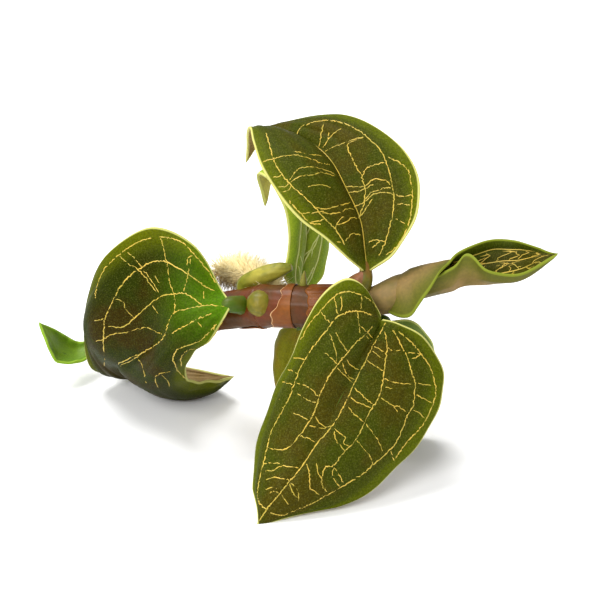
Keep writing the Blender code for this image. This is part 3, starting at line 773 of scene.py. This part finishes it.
for name, backName, look in (
        ("left", "leftBack", leftBlade), ("dark", "taupeBack", darkBlade),
        ("rolled", "rolledBack", rolledBlade), ("olive", "oliveBack", oliveBlade),
        ("fresh", "freshBack", freshBlade), ("back", "backLeafBack", backBlade),
        ("young", "youngBack", youngBlade)):
    look = {**everyFinish, **look}
    bladeMaterials[name] = [bladeSkin(name + "Velvet", look), bladeBack(backName, look)]
goldVein = veinSkin("goldVein", (0.56, 0.37, 0.035), (0.4, 0.3, 0.022))
paleVein = veinSkin("paleVein", (0.5, 0.52, 0.16), (0.38, 0.44, 0.1))

fleshLooks = {
    "stemRed": {"colour": (0.088, 0.017, 0.0003), "second": (0.062, 0.022, 0.0003),
                "speck": (0.66, 0.62, 0.56), "roughness": 0.4, "patchScale": 120.0},
    "stalkRed": {"colour": (0.16, 0.075, 0.012), "second": (0.11, 0.1, 0.008),
                 "speck": (0.62, 0.6, 0.56), "roughness": 0.42, "patchScale": 180.0},
    "stalkGreen": {"colour": (0.04, 0.085, 0.002), "second": (0.055, 0.07, 0.002),
                   "speck": (0.62, 0.6, 0.56), "roughness": 0.45, "patchScale": 180.0},
    "stalkTaupe": {"colour": (0.19, 0.125, 0.045), "second": (0.1, 0.085, 0.015),
                   "speck": (0.66, 0.62, 0.56), "roughness": 0.6, "patchScale": 130.0},
    "sheathPaper": {"colour": (0.11, 0.025, 0.0006), "second": (0.15, 0.045, 0.002),
                    "speck": (0.68, 0.62, 0.56), "roughness": 0.4, "patchScale": 160.0,
                    "edge": (0.6, 0.36, 0.17)},
    "pinkSleeve": {"colour": (0.3, 0.13, 0.07), "second": (0.2, 0.09, 0.03),
                   "speck": (0.68, 0.62, 0.56), "roughness": 0.45, "patchScale": 220.0},
    "nubSkin": {"colour": (0.09, 0.09, 0.004), "second": (0.15, 0.12, 0.01),
                "speck": (0.64, 0.62, 0.58), "roughness": 0.42, "patchScale": 260.0},
    "greenRootSkin": {"colour": (0.28, 0.25, 0.03), "second": (0.13, 0.14, 0.008),
                      "speck": (0.64, 0.62, 0.58), "roughness": 0.45, "patchScale": 200.0},
    "rootFelt": {"colour": (0.66, 0.53, 0.24), "second": (0.5, 0.38, 0.14),
                 "speck": (0.6, 0.58, 0.55), "roughness": 0.8, "patchScale": 300.0},
    "budScale": {"colour": (0.2, 0.19, 0.03), "second": (0.14, 0.11, 0.015),
                 "speck": (0.6, 0.58, 0.55), "roughness": 0.5, "patchScale": 300.0},
}
flesh = {name: fleshSkin(name, look) for name, look in fleshLooks.items()}
hairSkin = veinSkin("rootHair", (0.86, 0.75, 0.42), (0.8, 0.64, 0.3))
print("materials ready")

# What a blade has unless its own dictionary says otherwise.
everyBlade = {
    "halfThickness": 0.36, "ripple": 0.2, "tipPinch": 0.2, "furrow": 0.45, "keel": 1.2, "keelReach": 0.6,
    "mainVeins": [], "midribRadius": 0.22, "midribFromLine": False, "veinSkin": goldVein,
    "stalkSkin": flesh["stalkGreen"],
}

# Veins of three blades, read on enlarged crops of the photograph: each crop's corner in the
# photograph, its enlargement, and points in the enlarged crop's pixels.
frontSketch = {
    "corner": (230, 270), "zoom": 5.81,
    "main": [
        [(905, 300), (860, 390), (825, 450), (780, 545), (720, 660), (670, 775), (595, 905), (510, 1005),
         (440, 1110), (355, 1220), (290, 1295), (225, 1375), (165, 1465)],
        [(900, 350), (912, 450), (900, 550), (890, 640), (865, 735), (825, 805), (780, 890), (735, 985),
         (665, 1055), (605, 1130), (555, 1145), (535, 1200), (535, 1245), (565, 1290)],
        [(945, 345), (985, 420), (1025, 495), (1055, 590), (1075, 665), (1065, 780), (1035, 840),
         (985, 960), (935, 1040), (830, 1135), (740, 1208), (575, 1300), (480, 1355), (400, 1385),
         (300, 1425), (235, 1410)],
        [(975, 350), (1060, 425), (1110, 490), (1160, 560), (1190, 650), (1195, 720), (1180, 780),
         (1140, 870), (1090, 935), (1020, 1010), (960, 1095)],
        [(830, 328), (790, 372), (735, 420), (680, 480), (630, 545), (575, 620), (540, 690), (515, 750),
         (487, 833), (455, 888), (400, 965), (335, 1035), (245, 1040), (215, 1020)],
        [(828, 260), (745, 240), (690, 245), (620, 275), (575, 330), (500, 425), (440, 510), (395, 600),
         (370, 670), (340, 750), (290, 840), (240, 940), (215, 1030), (195, 1110), (175, 1200),
         (160, 1290), (168, 1350), (215, 1390)],
        [(860, 235), (830, 190), (760, 145), (690, 125), (620, 145), (560, 200), (510, 255), (450, 330),
         (420, 390), (380, 425)],
    ],
    "cross": [
        [(605, 155), (615, 200), (625, 270)], [(645, 150), (650, 200), (640, 245)],
        [(765, 150), (760, 235)], [(525, 240), (560, 285), (580, 310)],
        [(740, 245), (750, 310), (755, 380)], [(755, 325), (790, 355), (830, 395)],
        [(790, 380), (820, 415)], [(570, 350), (590, 400), (610, 450), (622, 540)],
        [(615, 360), (640, 410), (680, 475)], [(545, 475), (590, 515), (625, 545)],
        [(670, 510), (700, 550), (750, 580)], [(650, 530), (665, 580), (690, 620), (725, 640)],
        [(620, 570), (660, 605), (720, 660)], [(830, 440), (870, 460), (900, 480)],
        [(825, 470), (860, 495), (895, 525)], [(790, 520), (840, 555), (890, 585)],
        [(915, 450), (950, 470), (1000, 465)], [(1030, 485), (1075, 480), (1110, 490)],
        [(1040, 515), (1080, 510), (1110, 488)], [(890, 625), (940, 650), (1000, 660), (1070, 665)],
        [(885, 678), (950, 688)], [(1085, 660), (1125, 665), (1170, 670)],
        [(1080, 725), (1130, 750), (1180, 775)], [(1060, 810), (1100, 830), (1130, 858)],
        [(865, 735), (910, 765), (950, 790), (985, 795), (1035, 835)], [(950, 790), (975, 828)],
        [(720, 680), (760, 720), (790, 750), (830, 775)],
        [(700, 735), (740, 770), (790, 785), (820, 800)], [(680, 785), (720, 835), (780, 885)],
        [(790, 890), (830, 950), (860, 990), (890, 1060)],
        [(735, 985), (780, 1045), (815, 1080), (830, 1135)], [(930, 1045), (945, 1080), (955, 1110)],
        [(600, 915), (640, 950), (672, 975), (660, 1000), (690, 1030)],
        [(605, 930), (610, 970), (640, 1020), (670, 1055)],
        [(605, 1140), (595, 1190), (610, 1225), (635, 1260)], [(610, 1150), (640, 1200), (660, 1240)],
        [(500, 1120), (515, 1180), (530, 1215)], [(445, 1125), (460, 1180), (465, 1280)],
        [(465, 1270), (500, 1290), (520, 1310)], [(350, 1235), (385, 1265), (400, 1320), (395, 1345)],
        [(345, 1240), (365, 1290), (395, 1330)], [(300, 1305), (325, 1340), (345, 1370)],
        [(200, 1225), (250, 1205), (320, 1215), (345, 1225)],
        [(200, 1168), (250, 1165), (300, 1140), (400, 1150)], [(190, 1130), (240, 1120), (290, 1125)],
        [(190, 1275), (240, 1265), (280, 1270)], [(225, 1300), (250, 1285), (290, 1300)],
        [(400, 965), (450, 975), (500, 1000)], [(455, 905), (500, 912), (550, 918), (590, 905)],
        [(490, 840), (520, 890), (560, 915)], [(365, 830), (410, 850), (455, 870)],
        [(385, 655), (430, 670), (470, 690), (515, 740)],
        [(370, 710), (420, 735), (460, 760), (510, 770)], [(290, 645), (330, 655), (365, 665)],
        [(345, 510), (390, 512), (435, 522)], [(325, 575), (360, 585), (390, 605)],
        [(270, 745), (300, 765)], [(280, 795), (315, 800)],
    ],
}
topSketch = {
    "corner": (235, 105), "zoom": 4.0,
    "main": [
        [(520, 128), (460, 150), (452, 175), (475, 230), (500, 270), (512, 300), (520, 350), (515, 400),
         (495, 455)],
        [(575, 605), (600, 550), (620, 480), (632, 420), (635, 360), (625, 300), (605, 230), (580, 180),
         (530, 130), (490, 100), (440, 75), (380, 62), (330, 65), (280, 80)],
        [(600, 605), (650, 560), (690, 490), (705, 420), (710, 360), (705, 310), (690, 260), (660, 232),
         (610, 205)],
        [(440, 560), (405, 500), (370, 465), (320, 410), (270, 360), (225, 320), (190, 280), (165, 240),
         (150, 200), (135, 150), (120, 100)],
        [(345, 478), (300, 470), (260, 430), (230, 400), (215, 380)],
    ],
    "cross": [
        [(105, 228), (150, 215), (190, 205), (240, 200), (300, 215), (350, 235), (385, 240)],
        [(235, 185), (290, 195), (350, 205)],
        [(215, 305), (240, 270), (270, 250), (320, 250), (370, 262), (410, 285)],
        [(220, 310), (260, 285), (300, 280), (350, 270), (400, 285)],
        [(260, 345), (300, 325), (345, 318), (385, 330)], [(150, 290), (175, 285), (190, 275)],
        [(185, 350), (215, 340), (225, 320)], [(165, 330), (200, 325), (220, 310)],
        [(320, 410), (370, 415), (420, 400), (465, 390)],
        [(345, 430), (400, 435), (450, 415), (478, 420)],
        [(400, 480), (440, 470), (470, 450), (490, 455)], [(260, 435), (310, 430), (360, 425)],
        [(400, 500), (410, 470), (440, 440)], [(440, 545), (470, 515), (505, 520)],
        [(290, 470), (330, 465), (360, 455)], [(400, 545), (425, 550)],
        [(360, 185), (400, 165), (440, 150), (500, 130), (520, 128)], [(335, 165), (345, 120), (355, 70)],
        [(350, 170), (365, 150), (380, 95)], [(370, 140), (400, 110), (425, 92)],
        [(245, 125), (260, 95), (280, 75)], [(510, 270), (540, 245), (600, 230)],
        [(445, 325), (480, 325), (520, 325), (550, 300), (600, 300), (622, 320)],
        [(455, 350), (495, 345), (530, 330), (560, 312)],
        [(475, 410), (520, 385), (560, 355), (605, 350), (640, 360)],
        [(500, 450), (530, 405), (550, 375)], [(640, 360), (680, 365), (710, 358)],
        [(640, 395), (680, 398), (700, 402)], [(640, 455), (680, 475)],
        [(530, 552), (560, 540), (600, 545)], [(545, 572), (580, 545)], [(508, 290), (520, 262)],
        [(520, 380), (545, 350), (590, 335), (625, 330)],
    ],
}
leftSketch = {
    "corner": (70, 215), "zoom": 4.4,
    "main": [
        [(110, 370), (120, 310), (150, 240), (210, 180), (250, 150), (310, 115), (390, 98), (450, 105),
         (500, 125), (545, 172), (600, 235), (645, 300)],
        [(640, 335), (590, 310), (520, 260), (430, 210), (370, 205), (310, 235), (240, 290), (195, 365),
         (160, 440), (150, 480), (148, 560), (150, 665)],
        [(580, 395), (540, 365), (500, 345), (450, 350), (410, 355), (360, 385), (300, 440), (240, 490),
         (165, 490)],
        [(690, 402), (600, 398), (520, 410), (455, 432), (430, 480), (415, 530), (380, 570), (320, 605),
         (260, 630), (205, 660)], [(625, 432), (560, 460), (500, 490), (445, 522)],
        [(655, 470), (600, 530), (560, 560), (500, 580), (465, 600), (455, 640), (480, 690), (510, 720)],
        [(685, 480), (650, 540), (600, 575), (560, 590), (515, 595), (490, 630), (490, 670)],
    ],
    "cross": [
        [(400, 100), (415, 160), (430, 230), (440, 300), (460, 360), (460, 430)],
        [(250, 160), (290, 200), (320, 230)],
        [(215, 180), (250, 210), (300, 240), (350, 300), (380, 340)],
        [(320, 240), (360, 290), (392, 342)], [(545, 175), (520, 190), (515, 225)],
        [(530, 190), (520, 260), (500, 340)],
        [(195, 370), (230, 380), (250, 420), (280, 450), (300, 440)], [(360, 395), (390, 440)],
        [(105, 470), (150, 455)],
        [(110, 555), (150, 545), (180, 525), (250, 515), (330, 495), (380, 515), (410, 525)],
        [(370, 260), (400, 310)], [(585, 330), (590, 370)], [(555, 465), (590, 500)],
        [(635, 480), (635, 520)], [(330, 600), (270, 640), (215, 668)],
        [(445, 690), (390, 700), (375, 730), (395, 770)],
        [(300, 630), (320, 670), (330, 720), (340, 750)], [(400, 700), (430, 730), (440, 760)],
    ],
}

frontLeaf = {
    "midrib": [(19, -13, 41.5), (17.5, -14.5, 38.5), (15.5, -16, 35.5), (12.5, -19, 31),
               (9.5, -22, 26), (6, -26, 20.5), (1.5, -30, 14), (-4, -34, 7.5), (-10, -36.5, -0.5)],
    "rightEdge": [(19, -13, 42), (15, -13, 50), (10, -13, 52.5), (3.5, -13, 46), (-1, -13, 34.5),
                  (-5.5, -14, 24), (-9.5, -19, 14), (-11, -27, 6.5), (-10, -36.5, -0.5)],
    "leftEdge": [(19, -13, 42), (23.5, -14.5, 41.3), (29, -14.5, 37.8), (33.5, -15, 30), (33.5, -18, 24),
                 (30.5, -21, 17), (24, -25, 10), (12.5, -30, 2.5), (-10, -36.5, -0.5)],
    "rightBulge": [0, 1, 2, 3, 4, 4, 3, 1.5, 0],
    "leftBulge": [0, 0.5, 1, 2, 2, 2, 2, 1, 0],
    "stalk": [(13.5, -9, 41), (16.3, -10.8, 41), (18.3, -12.2, 39.8)],
    "stalkRadii": [2.2, 1.7, 0.9],
    "look": "dark", "detail": (150, 40), "tipPinch": 0.45,
    "mainVeins": [0.33, 0.6, 0.85], "veinRadius": 0.185, "sketch": frontSketch, "seed": 11,
}
growLeaf("frontLeaf", "leaf_front", "leaf_dark", frontLeaf)

topLeaf = {
    "midrib": [(15.5, -6, 50.5), (15, -4, 56.5), (14, 0, 61.5), (11, 4, 67), (7.5, 9, 72),
               (3.5, 14, 74), (-1, 18, 74), (-6, 22, 73.5), (-11, 26, 72.5), (-13.5, 29, 63)],
    "rightEdge": [(16, -6, 50.5), (22, -6, 55.5), (26.5, -4, 62.5), (28, 0, 68), (26.5, 5, 73.5),
                  (20.5, 12, 78), (10.5, 19, 80), (1.5, 25, 76.5), (-6.5, 28, 73), (-13.5, 29, 63)],
    "leftEdge": [(15, -7, 51), (10.5, -8, 55.5), (5.5, -8, 60.5), (0, -7, 64.5), (-5, -3, 69),
                 (-9, 3, 73.5), (-11, 9, 77), (-12, 16, 78), (-13, 24, 72.5), (-13.5, 29, 63)],
    "rightBulge": [0, -1, -1, -1, 0, 1, 1, 1, 0, 0],
    "leftBulge": [0, 1, 2, 3, 4, 4, 3, 1, 0, 0],
    "stalk": [(13.5, -6, 44.5), (15.1, -5.6, 48), (15.4, -5.0, 50.6)],
    "stalkRadii": [2.6, 2.0, 1.5],
    "look": "dark", "detail": (150, 40), "tipPinch": 0.45, "furrow": 0.4, "midribFromLine": True,
    "mainVeins": [0.33, 0.6, 0.85], "veinRadius": 0.185, "sketch": topSketch, "seed": 23,
    "stalkSkin": flesh["stalkRed"],
}
growLeaf("topLeaf", "leaf_top", "leaf_dark", topLeaf)

leftLeaf = {
    "midrib": [(-17, -5, 41.5), (-24, -6, 41.5), (-31, -5, 38), (-36.5, 1, 27), (-42, 7, 19),
               (-46.5, 14, 13.5), (-42, 26, 4), (-35, 27, 1.2), (-26, 24, 2.6), (-17, 20, 7)],
    "rightEdge": [(-16.5, -5, 42), (-19.2, -0.5, 44.3), (-25.5, 5, 52.5), (-36, 9, 55), (-47, 11.5, 46.5),
                  (-53, 15.5, 31), (-54.5, 24, 7.5), (-44, 31.5, 4.5), (-31, 32, 3), (-17, 20, 7)],
    "leftEdge": [(-16.5, -6, 41), (-18, -8, 39), (-21, -9, 34.5), (-25, -6, 29.5), (-27.5, -1, 23),
                 (-28, 5, 15.5), (-26, 10, 11.5), (-23, 13, 10), (-20, 16, 8.5), (-17, 20, 7)],
    "rightBulge": [0, 0, 1, 3, 4, 4, 1.5, 1, 1, 0],
    "leftBulge": [0, 0.5, 2.5, 4, 4, 4, 5, 4.8, 3, 0],
    "stalk": [(-13, 0.5, 38), (-14.5, -2.8, 40.2), (-17, -4.2, 41)],
    "stalkRadii": [2.6, 2.2, 1.9],
    "look": "left", "detail": (190, 40), "keelReach": 0.24,
    "mainVeins": [0.33, 0.6, 0.85], "veinRadius": 0.185, "sketch": leftSketch, "seed": 37,
}
growLeaf("leftLeaf", "leaf_left", "leaf_dark", leftLeaf)

rolledLeaf = {
    "midrib": [(18.5, -4, 42.5), (20.5, -1.5, 41.5), (23, 0, 41.5), (27.5, 1, 42), (31.5, 1, 43.5),
               (36, 0, 45), (40.5, -2, 46.5), (46, -4, 49), (51.5, -6, 51.5), (56, -7, 54.5),
               (60, -7, 56)],
    "rightEdge": [(18.5, -4.5, 42.5), (20.5, -4, 43), (23.5, -6, 46), (27.5, -7, 48), (31.5, -8, 50.5),
                  (35.5, -8, 53), (39, -7, 56), (43, -12, 54.5), (48.5, -13, 53.5), (54.5, -11, 54.5),
                  (60, -7, 56)],
    "leftEdge": [(18.5, -6, 43), (21, -10, 41.7), (25, -13, 42.2), (27.5, -13, 45), (30.5, -12, 50),
                 (33.5, -8, 52.5), (37, -2, 53.5), (44, 1, 55.5), (50.5, 0, 56), (56, -4, 56),
                 (60, -7, 56)],
    "rightBulge": [0, -1, -2, -2.5, -3, -3.5, -4, -2.5, -2, -1, 0],
    "leftBulge": [0, -4, -7, -7, -5, -3, -1, -1, -1, -0.5, 0],
    "stalk": [(16.0, -6, 42.8), (18.8, -6.3, 43.5), (21.6, -6.0, 44.3),
              (24.6, -4.9, 45.1), (27.6, -3.6, 45.9)],
    "stalkRadii": [3.1, 3.7, 4.15, 4.2, 3.0],
    "look": "rolled", "detail": (130, 36), "tipPinch": 0.45, "stalkSkin": flesh["stalkTaupe"],
    "mainVeins": [0.35, 0.7], "veinRadius": 0.14, "spacing": 0.045, "drift": 0.03, "seed": 41,
}
growLeaf("rolledLeaf", "leaf_right", "leaf_rolled", rolledLeaf)

backLeaf = {
    "midrib": [(-0.5, 9, 35), (0.5, 14, 41.5), (1.5, 20, 47.5), (1, 27, 53), (-2, 33, 57),
               (-7, 37, 56), (-9, 38, 47)],
    "rightEdge": [(-0.5, 9, 35), (5.5, 18, 37), (7, 24, 43), (7.5, 31, 50.5), (2.5, 38, 58),
                  (-6.5, 40, 58), (-9, 38, 47)],
    "leftEdge": [(-0.5, 9, 35), (-4, 8, 42.5), (-3, 12, 47.5), (-3.5, 18, 54), (-7, 25, 59),
                 (-10.5, 33, 58), (-9, 38, 47)],
    "rightBulge": [0, 0, 1, 1, 1, 0, 0],
    "leftBulge": [0, 1, 1, 2, 2, 1, 0],
    "stalk": [(3.2, -1, 38.5), (1.5, 5, 35.5), (-0.3, 9, 35)],
    "stalkRadii": [2.2, 1.6, 1.4],
    "look": "back", "detail": (100, 28), "veinSkin": paleVein,
    "mainVeins": [0.55], "veinRadius": 0.3, "spacing": 0.13, "drift": 0.11, "seed": 53,
}
growLeaf("backLeaf", "leaf_back", "leaf_dark", backLeaf)

underLeaf = {
    "midrib": [(20.5, -5, 37), (21.5, -4, 31), (23, -2, 24.5), (24.5, 0, 16.5), (26.5, 1, 8),
               (29, 0.5, -1)],
    "rightEdge": [(20.5, -5, 37), (15, -4.5, 34), (13.5, -3, 27.5), (16, -2, 17.5), (21, -1, 8.5),
                  (29, 0.5, -1)],
    "leftEdge": [(20.5, -5, 37), (27, -3, 36), (32, -1, 29), (33.5, 2, 20), (32.5, 3, 10),
                 (29, 0.5, -1.2)],
    "rightBulge": [0, 1, 2, 2, 1, 0],
    "leftBulge": [0, 1, 2, 2, 1, 0],
    "stalk": [(15.5, -5, 38.5), (18, -5.2, 37.6), (20.3, -5, 37)],
    "stalkRadii": [1.8, 1.5, 1.3],
    "look": "fresh", "detail": (80, 26),
}
growLeaf("underLeaf", "leaf_under", "leaf_young", underLeaf)

hangingLeaf = {
    "midrib": [(0, 4, 31), (-1.5, 7, 24.5), (-2.5, 9, 17.5), (-2.5, 10, 10.5), (-1.5, 9, 5.5),
               (0, 6, 2.5)],
    "rightEdge": [(0, 4, 31), (-5, 11.5, 25), (-6, 15, 16), (-5.5, 16, 8), (-3.5, 12, 3.5), (0, 6, 2.5)],
    "leftEdge": [(0, 4, 31), (3, 2, 26.5), (4.5, 3, 20), (4.5, 4, 12.5), (3, 5, 6.5), (0, 6, 2.5)],
    "rightBulge": [0, 1, 2, 2, 1, 0],
    "leftBulge": [0, 1, 2, 2, 1, 0],
    "stalk": [(5.5, -4, 36.5), (4.5, 0, 33), (0.5, 4, 31)],
    "stalkRadii": [2.2, 1.6, 1.4],
    "look": "olive", "detail": (80, 26),
}
growLeaf("hangingLeaf", "leaf_hanging", "leaf_dark", hangingLeaf)

youngLeaf = {
    "midrib": [(-53, 35, 6.5), (-56, 33, 7), (-59.5, 31, 7), (-63, 29, 9.5), (-65.5, 29, 14),
               (-68, 30, 17.5)],
    "rightEdge": [(-53.5, 36, 6), (-55.5, 36, 8.5), (-59, 35, 9), (-62, 34, 11.5), (-64.5, 32, 14.5),
                  (-68, 30, 17.5)],
    "leftEdge": [(-53, 34, 6.5), (-55.5, 30, 7), (-58.5, 27, 7.5), (-63, 25, 8.5), (-65.5, 26, 13),
                 (-68, 30, 17.5)],
    "rightBulge": [0, -0.5, -1, -1, -0.5, 0],
    "leftBulge": [0, -0.5, -1, -1, -0.5, 0],
    "stalk": [(-50, 34.5, 9), (-53, 34.9, 7)],
    "stalkRadii": [1.9, 1.5],
    "look": "young", "detail": (60, 20),
}
growLeaf("youngLeaf", "leaf_young", "leaf_young", youngLeaf)

stem = {
    "route": [(17.5, -6, 42), (10.5, -6, 41.5), (2.5, -5, 41), (-7, -2, 39.5), (-14.5, 4, 35.5),
              (-23.5, 14, 28.5), (-34, 24, 21), (-43.5, 31, 13.5), (-50.5, 34.5, 9)],
    "taper": [0.88, 1.0, 1.0, 1.0, 0.96, 0.9, 0.8, 0.7, 0.6],
    "rings": [0.13, 0.40, 0.62, 0.82],
    "radius": 5.0, "ringSwelling": 0.35, "ringWidth": 0.018, "scarDepth": 0.3, "scarWidth": 0.004,
    "roundEnd": 0.03, "endCut": 0.01, "detail": (72, 320),
    "wrinkles": [(0.07, 7, 9), (0.049, 12, -31), (0.035, 2, 90)],
}


# Each ring is a low swelling with an old leaf scar cut into its middle.
def stemRadius(shares):
    radius = stem["radius"] * smoothLine(stem["taper"], shares)[..., 0]
    for ring in stem["rings"]:
        radius = radius + stem["ringSwelling"] * np.exp(-((shares - ring) / stem["ringWidth"]) ** 2)
        radius = radius - stem["scarDepth"] * np.exp(-((shares - ring) / stem["scarWidth"]) ** 2)
    near = np.clip(1.0 - np.minimum(shares, 1.0 - shares) / stem["roundEnd"], 0, 1)
    return radius * np.sqrt(np.clip(1.0 - near ** 2, stem["endCut"], 1.0))


points, faces = tubePoints(stem["route"], stemRadius, *stem["detail"], stem["wrinkles"])
mesh = sealedMesh("creepingStem", toFrame(points), faces, [flesh["stemRed"]])
newPiece("creepingStem", mesh, "stem_skin", "stem")

# Places along the stem are shares of its length. Slant and wave shift the torn end along the stem.
sheaths = {
    "jointSheath": {"node": "sheath_joint", "start": 0.295, "end": 0.345, "angles": (0, 360),
                    "slant": -0.026, "pale": 1.0},
    "tipSheath": {"node": "sheath_tip", "start": 0.16, "end": 0.24, "angles": (-50, 120),
                  "slant": 0.01, "pale": 0.1},
    "lowerSheath": {"node": "sheath_lower", "start": 0.40, "end": 0.50, "angles": (215, 325),
                    "slant": 0.0, "pale": 0.8},
}
sheathWall = {"gap": 0.12, "thickness": 0.14, "thinning": 0.5, "flare": 0.04, "wave": 0.0045,
              "waveForm": ((1.0, 5, 1), (0.6, 11, 0)), "ridge": 0.05, "ridges": 26,
              "around": 72, "along": 20, "axisStep": 0.004}


# Point on the stem's axis, and the directions to the viewer and upwards across it.
def stemAxes(share):
    step = sheathWall["axisStep"]
    places = np.array([share, min(share + step, 1), max(share - step, 0)])
    centre, after, before = smoothLine(stem["route"], places)
    ahead = unit(after - before)
    front = np.array((0.0, -1.0, 0.0))
    front = unit(front - ahead * front.dot(ahead))
    top = unit(np.cross(front, ahead))
    return centre, front, top if top[2] > 0 else -top


def sheathPoint(look, level, far, angle):
    form = sum(height * math.sin(waves * angle + turn) for height, waves, turn in sheathWall["waveForm"])
    wave = sheathWall["wave"] * form * far ** 3
    share = look["start"] + (look["end"] - look["start"]) * far + look["slant"] * math.sin(angle) * far + wave
    centre, front, top = stemAxes(share)
    radius = float(stemRadius(np.array([share]))[0]) + sheathWall["gap"]
    radius += level * (1 - sheathWall["thinning"] * far ** 4) + sheathWall["flare"] * (1 - far)
    radius += sheathWall["ridge"] * math.sin(sheathWall["ridges"] * angle)
    return centre + radius * (math.cos(angle) * front + math.sin(angle) * top)


def growSheath(name, look):
    around, along = sheathWall["around"], sheathWall["along"]
    first, last = (math.radians(a) for a in look["angles"])
    whole = look["angles"][1] - look["angles"][0] == 360
    count = around if whole else around + 1
    points, torn = [], []
    for level in (0.0, sheathWall["thickness"]):
        for i in range(along + 1):
            for j in range(count):
                points.append(sheathPoint(look, level, i / along, first + (last - first) * j / around))
                torn.append(look["pale"] * (i / along) ** 4)
    shift = (along + 1) * count
    faces = []
    for i in range(along):
        for j in range(around):
            a, b = i * count + j, i * count + (j + 1) % count
            faces.append((a, b, b + count, a + count))
            faces.append((shift + a, shift + a + count, shift + b + count, shift + b))
    for i in (0, along):
        for j in range(around):
            a, b = i * count + j, i * count + (j + 1) % count
            faces.append((a, b, shift + b, shift + a))
    if not whole:
        for j in (0, around):
            for i in range(along):
                a, b = i * count + j, (i + 1) * count + j
                faces.append((a, b, shift + b, shift + a))
    mesh = sealedMesh(name, toFrame(points), faces, [flesh["sheathPaper"]], values={"tornEdge": torn})
    newPiece(name, mesh, "sheath_skin", look["node"])


for name, look in sheaths.items():
    growSheath(name, look)
print("stem and sheaths grown")

furryRoot = {
    "route": [(-6.5, 2, 39), (-8, 8, 38.5), (-11, 13, 39), (-15.5, 16.5, 39.5), (-20, 18, 38.5)],
    "radii": [1.6, 1.5, 1.4, 1.3, 0.9], "detail": (24, 60),
    "furSpan": (0.12, 0.99, 30), "furDetail": (24, 40),
    "hairs": {"Hair Density": 2.6e7, "Hair Length": 0.0064, "Hair Width": 0.00012, "Lean": 0.6, "Seed": 5},
}
points, faces = tubePoints(furryRoot["route"], furryRoot["radii"], *furryRoot["detail"])
core = sealedMesh("furryRootCore", toFrame(points), faces, [flesh["rootFelt"]])
newPiece("furryRootCore", core, "root_felt", "root_hairy")
shares = np.linspace(*furryRoot["furSpan"])
radii = list(smoothLine(furryRoot["radii"], shares)[:, 0])
points, faces = tubePoints(smoothLine(furryRoot["route"], shares), radii, *furryRoot["furDetail"])
bed = sealedMesh("hairBed", toFrame(points), faces, [flesh["rootFelt"]])
fur = growWith(hairTree, bed, "rootFur", {**furryRoot["hairs"], "Material": hairSkin})
newPiece("rootFur", fur, "root_felt")
print("furry root grown with", len(fur.polygons), "hair faces")

rootWrinkles = [(0.05, 5, 8), (0.05, 9, -15)]
greenRoot = {"route": [(-13, 4, 38), (-13.5, 5.5, 41.5), (-9, 5, 44), (-5, 4.5, 45.8), (-2, 4, 46.8)],
             "radii": [1.4, 1.8, 2.2, 1.8, 0.8], "detail": (32, 40), "wrinkles": rootWrinkles}
rootNub = {"route": [(-9.6, -2.8, 41.4), (-9.6, -4.6, 41.5), (-9.7, -6.2, 41.6), (-9.8, -7.5, 41.7)],
           "radii": [2.7, 3.1, 2.6, 0.8], "detail": (32, 40), "wrinkles": rootWrinkles}
budSpike = {"route": [(0.8, -2.5, 44.2), (0.8, -2.5, 46.0), (0.9, -2.4, 47.6), (1.1, -2.3, 49.0)],
            "radii": [0.95, 0.85, 0.55, 0.15], "detail": (32, 40), "wrinkles": ()}
# A papery sleeve at the foot of the top leaf's stalk, which the solids lack.
footSleeve = {"route": [(11.6, -5.6, 44.3), (12.6, -5.8, 46.6), (13.9, -5.9, 48.8), (14.9, -5.9, 50.6)],
              "radii": [3.2, 2.5, 1.7, 0.5], "detail": (28, 30), "wrinkles": ()}
for name, look, skin, slot, nodes in (
        ("greenRoot", greenRoot, "greenRootSkin", "root_skin", ["root_green"]),
        ("rootNub", rootNub, "nubSkin", "root_skin", ["root_nub"]),
        ("budSpike", budSpike, "budScale", "bud_skin", ["bud"]),
        ("footSleeve", footSleeve, "pinkSleeve", "sheath_skin", [])):
    points, faces = tubePoints(look["route"], look["radii"], *look["detail"], look["wrinkles"])
    newPiece(name, sealedMesh(name, toFrame(points), faces, [flesh[skin]]), slot, *nodes)
print("roots, bud and sleeve grown")
